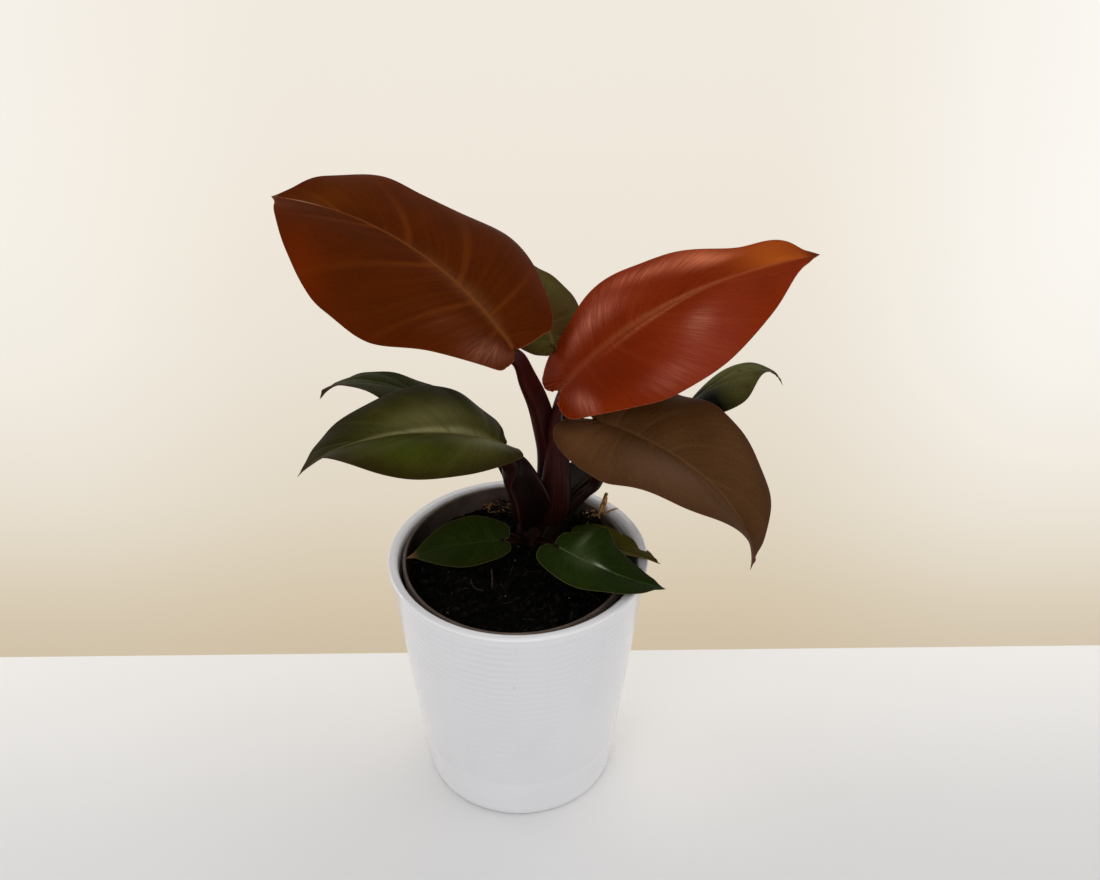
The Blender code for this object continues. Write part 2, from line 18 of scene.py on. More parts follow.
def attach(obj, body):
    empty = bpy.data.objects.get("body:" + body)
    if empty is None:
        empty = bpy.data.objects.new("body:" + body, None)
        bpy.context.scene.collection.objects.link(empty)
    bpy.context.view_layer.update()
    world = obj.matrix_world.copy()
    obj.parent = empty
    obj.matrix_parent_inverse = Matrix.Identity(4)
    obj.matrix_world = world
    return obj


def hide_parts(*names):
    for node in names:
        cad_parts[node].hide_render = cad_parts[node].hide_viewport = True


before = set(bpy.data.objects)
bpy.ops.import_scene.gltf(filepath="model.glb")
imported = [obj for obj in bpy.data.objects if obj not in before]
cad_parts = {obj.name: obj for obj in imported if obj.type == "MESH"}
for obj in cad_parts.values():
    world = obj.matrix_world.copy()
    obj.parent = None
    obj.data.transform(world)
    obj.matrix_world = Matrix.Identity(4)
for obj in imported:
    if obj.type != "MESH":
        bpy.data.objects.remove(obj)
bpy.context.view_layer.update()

LOG = logging.getLogger("philodendron")
BODY = "root"
CROWN_MIDDLE = (0.006, 0.027)
MERGE = 0.000001
SEAM = 0.00002

Tone = tuple[int, int, int]
Place = tuple[float, float, float]


def linear(tone: Tone) -> Place:
    """Linear colour that shows as a display tone of 0 to 255 in full light."""
    shares = [part / 255 for part in tone]
    return tuple(share / 12.92 if share < 0.0405 else ((share + 0.055) / 1.055) ** 2.4 for share in shares)


def smooth_step(value: float, start: float, end: float) -> float:
    """Smooth rise from 0 at start to 1 at end, held outside them."""
    part = min(max((value - start) / (end - start), 0.0), 1.0)
    return part * part * (3 - 2 * part)


def bell(value: float, width: float) -> float:
    """Height of a bell curve of that half width at a distance from its middle."""
    return math.exp(-((value / width) ** 2))


def curve_point(points: list[Vector], ratio: float) -> Vector:
    """Point along a smooth curve that passes through the given points.

    Args:
        points: The points, in order.
        ratio: Place along the curve, 0 to 1.

    Returns:
        The point there.
    """
    last = len(points) - 1
    place = min(max(ratio, 0.0), 1.0) * last
    index = min(int(place), last - 1)
    part = place - index
    start, end = points[index], points[index + 1]
    before = points[index - 1] if index > 0 else 2 * start - end
    after = points[index + 2] if index + 2 <= last else 2 * end - start
    return 0.5 * (
        2 * start
        + (end - before) * part
        + (2 * before - 5 * start + 4 * end - after) * part ** 2
        + (3 * start - before - 3 * end + after) * part ** 3
    )


# Materials


class Channel:
    """A value that varies over a surface. An expression on it adds Math nodes to its material."""

    def __init__(self, shader: "Shader", socket: bpy.types.NodeSocket) -> None:
        """Wraps a socket of a material's nodes."""
        self.shader = shader
        self.socket = socket

    def math(self, operation: str, first: "Channel | float", second: "Channel | float" = 0.0) -> "Channel":
        """Result of a Math node with that operation and one or two values."""
        return self.shader.node("ShaderNodeMath", {"operation": operation}, {0: first, 1: second})

    def __add__(self, other: "Channel | float") -> "Channel":
        """Sum."""
        return self.math("ADD", self, other)

    def __radd__(self, other: float) -> "Channel":
        """Sum, with the number first."""
        return self.math("ADD", other, self)

    def __sub__(self, other: "Channel | float") -> "Channel":
        """Difference."""
        return self.math("SUBTRACT", self, other)

    def __rsub__(self, other: float) -> "Channel":
        """Difference, with the number first."""
        return self.math("SUBTRACT", other, self)

    def __mul__(self, other: "Channel | float") -> "Channel":
        """Product."""
        return self.math("MULTIPLY", self, other)

    def __truediv__(self, other: "Channel | float") -> "Channel":
        """Quotient."""
        return self.math("DIVIDE", self, other)

    def distance_from(self, middle: float) -> "Channel":
        """Distance of the value from a number."""
        return self.math("ABSOLUTE", self - middle)

    def fraction(self) -> "Channel":
        """The value's part after the point."""
        return self.math("FRACT", self)

    def ramp(self, start: float, end: float, low: float = 0.0, high: float = 1.0) -> "Channel":
        """Smooth change from low at start to high at end, held outside them."""
        settings = {"interpolation_type": "SMOOTHSTEP"}
        return self.shader.node("ShaderNodeMapRange", settings, {0: self, 1: start, 2: end, 3: low, 4: high})


class Shader:
    """One material and the nodes that feed its Principled shader."""

    def __init__(self, name: str, **constants: float | Tone) -> None:
        """Makes the material.

        Args:
            name: The material's name.
            constants: Values of the shader's sockets, named with _ for a space.
        """
        self.material = bpy.data.materials.new(name)
        self.material.use_nodes = True
        self.nodes = self.material.node_tree.nodes
        self.links = self.material.node_tree.links
        self.surface = self.nodes["Principled BSDF"]
        for socket, value in constants.items():
            self.feed(self.surface.inputs[socket.replace("_", " ")], value)

    def feed(self, socket: bpy.types.NodeSocket, value: "Channel | float | tuple") -> None:
        """Links a channel to a socket, or sets the socket's own value.

        Args:
            socket: The socket.
            value: A channel, a number, a display tone or a vector.
        """
        if isinstance(value, Channel):
            self.links.new(value.socket, socket)
        elif isinstance(value, tuple) and socket.type == "RGBA":
            socket.default_value = (*linear(value), 1.0)
        else:
            socket.default_value = value

    def node(self, kind: str, settings: dict | None = None, values: dict | None = None,
             output: int | str = 0) -> Channel:
        """Adds a node.

        Args:
            kind: The node's type.
            settings: Its own settings, set first. stops holds a ramp's places and tones.
            values: Values or channels of its input sockets, by name or number.
            output: The output socket to return.

        Returns:
            That output.
        """
        made = self.nodes.new(kind)
        for key, value in (settings or {}).items():
            if key == "stops":
                elements = made.color_ramp.elements
                while len(elements) < len(value):
                    elements.new(1.0)
                for element, (place, colour) in zip(elements, value):
                    element.position = place
                    element.color = (*linear(colour), 1.0)
            else:
                setattr(made, key, value)
        for key, value in (values or {}).items():
            self.feed(made.inputs[key], value)
        return Channel(self, made.outputs[output])

    def set(self, socket: str, value: Channel) -> None:
        """Feeds a varying value to a socket of the Principled shader."""
        self.feed(self.surface.inputs[socket], value)

    def position(self) -> Channel:
        """Object coordinates."""
        return self.node("ShaderNodeTexCoord", output="Object")

    def attribute(self, name: str) -> list[Channel]:
        """The three parts of a vector attribute of the mesh."""
        return self.parts(self.node("ShaderNodeAttribute", {"attribute_name": name}, output="Vector"))

    def parts(self, vector: Channel) -> list[Channel]:
        """The three parts of a vector."""
        first = self.node("ShaderNodeSeparateXYZ", None, {0: vector})
        return [Channel(self, socket) for socket in first.socket.node.outputs]

    def vector(self, first: Channel | float, second: Channel | float, third: Channel | float) -> Channel:
        """A vector made of three values."""
        return self.node("ShaderNodeCombineXYZ", None, {0: first, 1: second, 2: third})

    def noise(self, place: Channel, scale: float, detail: float = 2.0, rough: float = 0.5) -> Channel:
        """Fractal noise of about 0.5 on average; rough is the strength of its finer layers."""
        values = {"Vector": place, "Scale": scale, "Detail": detail, "Roughness": rough}
        return self.node("ShaderNodeTexNoise", None, values)

    def blend(self, factor: Channel | float, first: Channel | Tone, second: Channel | Tone) -> Channel:
        """Colour between two colours: factor 0 gives the first, 1 the second."""
        return self.node("ShaderNodeMix", {"data_type": "RGBA"}, {0: factor, 6: first, 7: second}, 2)

    def relief(self, height: Channel, distance: float, strength: float = 1.0) -> None:
        """Shades a fine relief of height 0 to 1, where 1 stands out by a distance in metres."""
        values = {"Height": height, "Distance": distance, "Strength": strength}
        self.set("Normal", self.node("ShaderNodeBump", None, values))


class BladeSide(Enum):
    """A side of a blade's skin, in the order of its material slots."""

    TOP = 0
    UNDER = 1
    RIM = 2


@dataclass(frozen=True)
class Patch:
    """A soft patch of another tone on a blade's top: bloom, a greener part, a painted highlight or painted
    shade.

    across and along place its middle, and breadth and reach are its half sizes. They are shares of the half
    width, above 0 on the left half, and of the length. streaks says how far fine streaks break it up.
    """

    colour: Tone
    across: float
    along: float
    breadth: float
    reach: float
    strength: float = 0.7
    streaks: float = 0.6

    def mask(self, across: Channel, along: Channel, streak: Channel) -> Channel:
        """Strength of the patch over the blade.

        Args:
            across: Signed share of the half width.
            along: Share of the length.
            streak: Fine streaks that break the patch up.

        Returns:
            The strength, 0 outside the patch.
        """
        side = (across - self.across) * (1 / self.breadth)
        way = (along - self.along) * (1 / self.reach)
        fade = side.math("POWER", 0.1, side * side + way * way)
        return fade * (streak * self.streaks + (1 - self.streaks)) * self.strength


@dataclass(frozen=True)
class BladeFinish:
    """Leaf skin with a soft pale midrib, side veins, fine streaks along them and a thin rim."""

    deep: Tone
    light: Tone
    vein: Tone
    midrib: Tone
    margin: Tone
    tip: Tone
    under: Tone
    rim: Tone = (96, 52, 40)
    vein_strength: float = 0.5
    midrib_width: float = 1.4
    midrib_strength: float = 0.6
    margin_width: float = 9.0
    margin_strength: float = 0.5
    tip_start: float = 0.93
    roughness: float = 0.5
    specular: float = 0.04
    patches: tuple[Patch, ...] = ()

    def material(self, name: str, side: BladeSide) -> bpy.types.Material:
        """Makes the material of one side of the blade.

        Args:
            name: The blade's name.
            side: The side of its skin.

        Returns:
            The material.
        """
        shader = Shader(f"{name}_{side.name.lower()}", Specular_IOR_Level=self.specular)
        phase, across, ratio = shader.attribute("vein_place")
        from_midrib, to_edge, along = shader.attribute("blade_place")
        reach = across.distance_from(0.0)
        grain = shader.noise(shader.vector(reach * 2.2, ratio * 110.0, phase * 0.2), 1.0, 4.0, 0.7)
        cloud = shader.noise(shader.position(), 34.0, 2.0)
        speckle = shader.noise(shader.position(), 1100.0, 3.0, 0.7)
        if side is BladeSide.RIM:
            shader.set("Base Color", shader.blend(grain, self.rim, self.margin))
            shader.set("Roughness", grain * 0.2 + 0.4)
            return shader.material
        tint = grain.ramp(0.36, 0.66) * 0.25 + cloud.ramp(0.34, 0.66) * 0.35 + speckle.ramp(0.35, 0.65) * 0.4
        main = (1 - phase.fraction().distance_from(0.5).ramp(0.01, 0.10)) * (1.1 - reach)
        fine = (1 - (phase * 3.0).fraction().distance_from(0.5).ramp(0.02, 0.22)) * (1.0 - reach)
        vein = (main + fine * 0.25) * along.ramp(0.0, 0.12, 0.35, 1.0)
        fibres = shader.noise(shader.vector(from_midrib * 3.4, along * 4.0, 0.0), 1.0, 3.0, 0.7)
        midrib = (1 - (from_midrib / (1.25 - along)).ramp(0.0, self.midrib_width)) * (fibres * 1.2 + 0.3)
        if side is BladeSide.UNDER:
            pale = midrib * 0.5 + vein * 0.2 + tint * 0.2
            shader.set("Base Color", shader.blend(pale, self.under, self.midrib))
            shader.set("Roughness", grain * 0.15 + 0.5)
            shader.relief(midrib + vein * 0.5 + grain * 0.3, 0.0004, 0.7)
            return shader.material
        colour = shader.blend(tint, self.deep, self.light)
        edge = (1 - to_edge.ramp(0.0, self.margin_width)) * self.margin_strength
        colour = shader.blend(edge, colour, self.margin)
        lines = shader.noise(shader.vector(reach * 3.0, ratio * 300.0, phase * 0.2), 1.0, 3.0, 0.7)
        streak = lines.ramp(0.36, 0.64) * 0.6 + grain.ramp(0.36, 0.64) * 0.4
        # Patches lay their tones over the skin; some are painted highlights or painted shade.
        for patch in self.patches:
            colour = shader.blend(patch.mask(across, along, streak), colour, patch.colour)
        colour = shader.blend(vein * self.vein_strength * (cloud * 0.8 + 0.5), colour, self.vein)
        colour = shader.blend(midrib * self.midrib_strength, colour, self.midrib)
        colour = shader.blend(along.ramp(self.tip_start, 0.99), colour, self.tip)
        colour = shader.blend((1 - to_edge.ramp(0.1, 0.45)) * 0.8, colour, self.rim)
        shader.set("Base Color", colour)
        shader.set("Roughness", self.roughness + (grain - 0.5) * 0.25 - midrib * 0.04)
        shader.relief(grain * 0.5 - vein * 0.3 + speckle * 0.3, 0.0003, 0.6)
        return shader.material


@dataclass(frozen=True)
class StalkFinish:
    """Smooth stalk skin with streaks along it, a paler line at the channel's edges and painted shade towards
    its foot.
    """

    deep: Tone
    light: Tone
    edge: Tone
    foot: Tone
    shade: Tone = (14, 5, 4)

    def material(self, name: str) -> bpy.types.Material:
        """Makes the material.

        Args:
            name: Its name.

        Returns:
            The material.
        """
        shader = Shader(name, Specular_IOR_Level=0.08)
        turn_cosine, turn_sine, ratio = shader.attribute("stalk_place")
        streak = shader.noise(shader.vector(turn_cosine * 9.0, turn_sine * 9.0, ratio * 3.0), 1.0, 3.0, 0.6)
        cloud = shader.noise(shader.position(), 90.0, 2.0)
        groove = turn_cosine.ramp(0.55, 0.95)
        colour = shader.blend(streak.ramp(0.35, 0.68) * 0.7 + cloud * 0.3 - 0.1, self.deep, self.light)
        colour = shader.blend(groove * 0.75, colour, self.foot)
        edge = (1 - turn_cosine.distance_from(0.55).ramp(0.02, 0.14)) * (1 - ratio.ramp(0.35, 0.95))
        colour = shader.blend(edge * 0.7, colour, self.edge)
        # Painted shade: the stalk darkens towards its foot.
        colour = shader.blend(ratio.ramp(0.1, 0.85, 0.8, 0.0), colour, self.shade)
        shader.set("Base Color", colour)
        shader.set("Roughness", streak * 0.2 + 0.34)
        specks = shader.noise(shader.position(), 1500.0, 2.0)
        shader.relief(streak * 0.8 + specks * 0.3, 0.0003, 0.6)
        return shader.material


@dataclass(frozen=True)
class GlazeFinish:
    """White glaze over a pressed relief, with painted shade in its grooves; it is clean elsewhere."""

    white: Tone = (226, 226, 229)
    # Painted shade in the relief's grooves.
    groove: Tone = (213, 213, 218)
    speck: Tone = (196, 190, 182)

    def material(self, name: str) -> bpy.types.Material:
        """Makes the material.

        Args:
            name: Its name.

        Returns:
            The material.
        """
        shader = Shader(name, Coat_Roughness=0.06, Coat_IOR=1.5, Specular_IOR_Level=0.5)
        depth, _, _ = shader.attribute("relief_place")
        cloud = shader.noise(shader.position(), 26.0, 3.0)
        fine = shader.noise(shader.position(), 700.0, 2.0)
        # Painted shade: the colour turns to the groove tone where the relief is deep.
        colour = shader.blend(depth * 0.7 + cloud.ramp(0.4, 0.75) * 0.25, self.white, self.groove)
        dots = shader.noise(shader.position(), 420.0, 0.0).ramp(0.87, 0.91)
        shader.set("Base Color", shader.blend(dots * 0.6, colour, self.speck))
        shader.set("Roughness", 0.13 + depth * 0.1 + cloud * 0.06)
        shader.set("Coat Weight", 0.4 - depth * 0.2)
        shader.relief(fine * 0.5 + cloud * 0.5, 0.00012, 0.5)
        return shader.material


@dataclass(frozen=True)
class GrainFinish:
    """Rough granular matter: two tones through noise, with a fine relief."""

    dark: Tone
    light: Tone
    scale: float
    roughness: float = 0.9
    relief: float = 0.0004
    specular: float = 0.3

    def material(self, name: str) -> bpy.types.Material:
        """Makes the material.

        Args:
            name: Its name.

        Returns:
            The material.
        """
        shader = Shader(name, Specular_IOR_Level=self.specular)
        coarse = shader.noise(shader.position(), self.scale, 4.0, 0.65)
        fine = shader.noise(shader.position(), self.scale * 6, 2.0)
        shader.set("Base Color", shader.blend(coarse.ramp(0.35, 0.7), self.dark, self.light))
        shader.set("Roughness", self.roughness + (fine - 0.5) * 0.2)
        shader.relief(coarse * 0.6 + fine * 0.4, self.relief)
        return shader.material


@dataclass(frozen=True)
class PlasticFinish:
    """Thin blow-moulded pot plastic, satin, with dust and fine mould lines round it."""

    body: Tone
    dusty: Tone
    # Tone of the darker inside wall.
    inner_dark: Tone = (12, 9, 6)

    def material(self, name: str) -> bpy.types.Material:
        """Makes the material.

        Args:
            name: Its name.

        Returns:
            The material.
        """
        shader = Shader(name, Specular_IOR_Level=0.25)
        _, _, height = shader.parts(shader.position())
        inside, backwards, depth = shader.attribute("wall_place")
        cloud = shader.noise(shader.position(), 60.0, 4.0, 0.6)
        lines = shader.noise(shader.vector(0.0, 0.0, height * 900.0), 1.0, 1.0)
        colour = shader.blend(cloud.ramp(0.4, 0.75), self.body, self.dusty)
        # The inside wall is darker from just below the rim down, fully from 2 mm, except towards the back.
        inner_darkening = inside * (backwards + cloud * 0.3).ramp(0.25, 1.15, 1.0, 0.0) * depth.ramp(0.5, 2.0)
        shader.set("Base Color", shader.blend(inner_darkening, colour, self.inner_dark))
        shader.set("Roughness", 0.34 + cloud * 0.3)
        shader.relief(lines * 0.6 + cloud * 0.4, 0.0002, 0.5)
        return shader.material


# Meshes


def to_piece(name: str, bm: bmesh.types.BMesh, materials: list[bpy.types.Material],
             sharp: float = 50.0) -> bpy.types.Object:
    """Turns a bmesh into a smoothly shaded object.

    Args:
        name: The object's name.
        bm: The mesh, which is freed.
        materials: Its material slots.
        sharp: Angle in degrees above which an edge stays sharp.

    Returns:
        The object, at the origin.
    """
    mesh = bpy.data.meshes.new(name)
    bm.to_mesh(mesh)
    bm.free()
    mesh.shade_smooth()
    mesh.set_sharp_from_angle(angle=math.radians(sharp))
    for material in materials:
        mesh.materials.append(material)
    piece = bpy.data.objects.new(name, mesh)
    bpy.context.scene.collection.objects.link(piece)
    return piece


def settle(piece: bpy.types.Object, slot: str, *nodes: str) -> None:
    """Rides a piece on the body and says which nodes it stands for.

    Args:
        piece: The finished piece.
        slot: A material slot of the record; not used.
        nodes: The nodes that it replaces.
    """
    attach(piece, BODY)
    if nodes:
        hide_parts(*nodes)
    stands_for = ", ".join(nodes) or "itself"
    LOG.info("%s: %d faces, stands for %s", piece.name, len(piece.data.polygons), stands_for)


def lathe(profile: list[tuple[float, float]], steps: int) -> bmesh.types.BMesh:
    """Spins a profile round the Z axis.

    Args:
        profile: Points as (radius, height), ordered round the section.
        steps: Steps of the full turn.

    Returns:
        The mesh, closed and with its faces outwards.
    """
    bm = bmesh.new()
    chain = [bm.verts.new((radius, 0.0, height)) for radius, height in profile]
    edges = [bm.edges.new(pair) for pair in zip(chain, chain[1:])]
    bmesh.ops.spin(bm, geom=chain + edges, cent=(0, 0, 0), axis=(0, 0, 1), dvec=(0, 0, 0),
                   angle=math.tau, steps=steps, use_merge=True)
    bmesh.ops.remove_doubles(bm, verts=bm.verts, dist=MERGE)
    bmesh.ops.recalc_face_normals(bm, faces=bm.faces)
    return bm


def rounded(centre: tuple[float, float], radius: float, start: float, end: float,
            steps: int) -> list[tuple[float, float]]:
    """Points of a round edge about a centre as (radius, height), between two angles in degrees."""
    angles = [math.radians(start + (end - start) * step / steps) for step in range(steps + 1)]
    return [(centre[0] + radius * math.cos(angle), centre[1] + radius * math.sin(angle)) for angle in angles]


def wire(bm: bmesh.types.BMesh, points: list[Vector], radii: tuple[float, float], sides: int,
         rings: int) -> None:
    """Adds a closed, tapering round bit along a curve.

    Args:
        bm: The mesh it goes into.
        points: Points of its middle line.
        radii: Radius at the start and at the end.
        sides: Faces round it.
        rings: Rings along it.
    """
    made = bmesh.ops.create_grid(bm, x_segments=sides, y_segments=rings, size=1.0)["verts"]
    lean = Vector((0.31, 0.52, 0.79))
    for vertex in made:
        turn, ratio = math.pi * vertex.co.x, (vertex.co.y + 1) / 2
        travel = (curve_point(points, ratio + 0.03) - curve_point(points, ratio - 0.03)).normalized()
        across = travel.cross(lean).normalized()
        radius = radii[0] + (radii[1] - radii[0]) * ratio
        ring = across * math.cos(turn) + travel.cross(across) * math.sin(turn)
        vertex.co = curve_point(points, ratio) + ring * radius
    bmesh.ops.remove_doubles(bm, verts=made, dist=MERGE)
    open_edges = [edge for edge in bm.edges if edge.is_boundary]
    bmesh.ops.holes_fill(bm, edges=open_edges, sides=0)


# Pots and soil


@dataclass
class GlazedPot:
    """The white glazed pot, with a linen-like relief between its smooth bands.

    The relief has fine ribs round the pot between upright lines. It fades towards the pot's sides, where the
    glaze has filled it, and towards the foot.
    """

    height: float = 0.1453
    rim_radius: float = 0.070
    foot_radius: float = 0.053
    wall: float = 0.0056
    floor: float = 0.006
    lip: float = 0.0024
    brow: float = 0.0015
    edge: float = 0.002
    foot_band: float = 0.0260
    rim_band: float = 0.1410
    rim_rows: tuple[float, ...] = (0.1434, 0.1424, 0.1415)
    foot_rows: tuple[float, ...] = (0.0250, 0.0200, 0.0150, 0.0100, 0.0055, 0.0030)
    foot_ring: float = 0.006
    steps: int = 480
    relief_depth: float = 0.00032
    foot_slope: float = 0.0012
    rim_slope: float = 0.0035
    column_count: int = 26
    line_width: float = 0.055
    line_depth: float = 0.6
    rib_pitch: float = 0.0044
    rib_width: float = 0.17
    rib_wobble: float = 0.45
    column_offset: float = 0.12
    front_turn: float = 0.10
    front_width: float = 0.75
    side_share: float = 0.12
    row_height: float = 0.00085
    skin: float = 0.0001
    finish: GlazeFinish = GlazeFinish()

    def radius_at(self, height: float) -> float:
        """Outer radius of the sloping side at a height."""
        return self.foot_radius + (self.rim_radius - self.foot_radius) * height / self.height

    def profile(self) -> list[tuple[float, float]]:
        """The section of the pot.

        Returns:
            Points as (radius, height), from the inner floor over the lip to the middle of the foot.
        """
        inner_floor = self.radius_at(self.floor) - self.wall
        inner_top = self.rim_radius - self.wall
        lip, edge = self.lip, self.edge
        points = [(0.0, self.floor)]
        points += rounded((inner_floor - edge, self.floor + edge), edge, -90, 0, 4)
        points += [(inner_floor + (inner_top - inner_floor) * step / 6, self.floor + edge
                    + (self.height - lip - self.floor - edge) * step / 6) for step in range(1, 6)]
        points += rounded((inner_top + lip, self.height - lip), lip, 180, 90, 6)
        points += rounded((self.rim_radius - self.brow, self.height - self.brow), self.brow, 90, 0, 6)
        points += [(self.radius_at(height), height) for height in self.rim_rows]
        rows = round((self.rim_band - self.foot_band) / self.row_height)
        for row in range(rows + 1):
            height = self.rim_band - (self.rim_band - self.foot_band) * row / rows
            points.append((self.radius_at(height), height))
        points += [(self.radius_at(height), height) for height in self.foot_rows]
        points += rounded((self.foot_radius - edge, edge), edge, 0, -90, 5)
        points += [(self.foot_radius - self.foot_ring, 0.0), (0.0, 0.0)]
        return points

    def relief(self, angle: float, height: float) -> float:
        """Depth of the relief under the smooth surface.

        Args:
            angle: Angle round the pot in radians.
            height: Height above the foot.

        Returns:
            The depth as a share of the full depth.
        """
        if not self.foot_band < height < self.rim_band:
            return 0.0
        ends = smooth_step(height, self.foot_band, self.foot_band + self.foot_slope)
        ends *= 1 - smooth_step(height, self.rim_band - self.rim_slope, self.rim_band)
        x, y = math.cos(angle), math.sin(angle)
        column = angle / math.tau * self.column_count
        wobble = self.rib_wobble * noise.noise(Vector((x * 2, y * 2, height * 55)))
        rib = height / self.rib_pitch + wobble + self.column_offset * math.sin(round(column) * 2.4)
        groove = bell(rib % 1.0 - 0.5, self.rib_width)
        half_groove = bell((rib * 2) % 1.0 - 0.5, 0.20) * 0.35
        line = bell((column + 0.05 * math.sin(height * 160)) % 1.0 - 0.5, self.line_width)
        double = bell((column * 3 + 0.4) % 1.0 - 0.5, 0.12) * 0.25
        fade = 0.65 + 0.55 * noise.noise(Vector((x * 3.1, y * 3.1, height * 21 + 5)))
        fade *= 0.45 + 0.65 * smooth_step(height, 0.06, 0.115)
        front = self.side_share
        front += (1 - self.side_share) * bell(math.cos(angle + self.front_turn), self.front_width)
        deepest = max(groove * front, half_groove * front, line * self.line_depth, double)
        return ends * (0.2 + 0.8 * fade * deepest)

    def make(self) -> None:
        """Builds and dresses the pot."""
        bm = lathe(self.profile(), self.steps)
        layer = bm.verts.layers.float_vector.new("relief_place")
        for vertex in bm.verts:
            radius = vertex.co.xy.length
            if radius > self.radius_at(vertex.co.z) - self.skin:
                depth = self.relief(math.atan2(vertex.co.y, vertex.co.x), vertex.co.z)
                vertex.co.xy *= 1 - depth * self.relief_depth / radius
                vertex[layer] = Vector((depth, 0.0, 0.0))
        piece = to_piece("pot_glazed", bm, [self.finish.material("white_glaze_relief")])
        settle(piece, "white_glaze", "glazed_pot")


@dataclass
class NurseryPot:
    """The thin plastic pot inside, with its rolled rim. It leans, and its wall is a little out of round."""

    x: float = -0.0012
    y: float = 0.0020
    foot: float = 0.0063
    top: float = 0.1425
    rim_radius: float = 0.0613
    foot_radius: float = 0.042
    tilt: float = 0.046
    wall: float = 0.0011
    roll_height: float = 0.005
    roll_depth: float = 0.0006
    roll_lines: tuple[tuple[float, float], ...] = (
        (0.0014, -0.0003), (0.0019, 0.0), (0.0026, 0.0), (0.0030, -0.0003), (0.0036, 0.0),
    )
    inner_rows: tuple[float, ...] = (0.120, 0.130, 0.136, 0.139)
    outer_rows: tuple[float, ...] = (0.128, 0.07)
    edge: float = 0.0008
    squash: float = 0.0012
    squash_turn: float = 0.7
    steps: int = 160
    finish: PlasticFinish = PlasticFinish((80, 67, 59), (104, 90, 81))

    def radius_at(self, height: float) -> float:
        """Outer radius of the sloping side at a height."""
        flare = self.rim_radius - self.roll_depth - self.foot_radius
        return self.foot_radius + flare * (height - GlazedPot.floor) / (self.top - GlazedPot.floor)

    def make(self) -> None:
        """Builds and dresses the pot."""
        floor = self.foot + self.wall
        roll = self.wall / 2
        roll_foot = self.top - self.roll_height
        inner_top = self.radius_at(self.top) - self.wall
        inner_floor = self.radius_at(floor) - self.wall
        profile = [(0.0, floor), (inner_floor - 0.001, floor), (inner_floor, floor + 0.001)]
        profile += [(self.radius_at(height) - self.wall, height) for height in (0.08, *self.inner_rows)]
        profile.append((inner_top - 0.0001, self.top - 0.0016))
        profile += rounded((inner_top + roll, self.top - roll), roll, 180, 90, 3)
        profile += rounded((self.rim_radius - roll, self.top - roll), roll, 90, 0, 3)
        profile += [(self.rim_radius + bulge, self.top - drop) for drop, bulge in self.roll_lines]
        profile += [(self.rim_radius + 0.0001, roll_foot + 0.0004), (self.rim_radius - 0.0003, roll_foot),
                    (self.radius_at(roll_foot) + 0.0002, roll_foot + 0.0001)]
        profile += [(self.radius_at(height), height) for height in self.outer_rows]
        profile += [(self.foot_radius, self.foot + self.edge), (self.foot_radius - self.edge, self.foot),
                    (0.0, self.foot)]
        bm = lathe(profile, self.steps)
        layer = bm.verts.layers.float_vector.new("wall_place")
        for vertex in bm.verts:
            rise = smooth_step(vertex.co.z, 0.05, self.top)
            angle = math.atan2(vertex.co.y, vertex.co.x)
            inside = vertex.co.xy.length < self.radius_at(vertex.co.z) - self.wall / 2
            depth = (self.top - vertex.co.z) * 1000
            vertex[layer] = Vector((float(inside), math.sin(angle), depth))
            vertex.co.z += self.tilt * vertex.co.y * rise
            vertex.co.xy *= 1 - self.squash * (1 + math.sin(2 * angle + self.squash_turn)) * rise
        bmesh.ops.translate(bm, verts=bm.verts, vec=(self.x, self.y, 0))
        piece = to_piece("pot_nursery", bm, [self.finish.material("taupe_plastic_satin")])
        settle(piece, "taupe_plastic", "nursery_pot")


class BitKind(Enum):
    """What lies on the soil. The value names its material."""

    CRUMB = "peat_crumb"
    PERLITE = "perlite"
    BARK = "bark_chip"
    FIBRE = "peat_fibre"
    STRAW = "straw"


@dataclass(frozen=True)
class Strand:
    """A bit of straw or fibre that lies or stands in a place of its own, given by its middle line."""

    points: tuple[Place, ...]
    radii: tuple[float, float]
    sides: int
    rings: int

    def make(self, bm: bmesh.types.BMesh) -> None:
        """Adds the strand to a mesh."""
        wire(bm, [Vector(point) for point in self.points], self.radii, self.sides, self.rings)


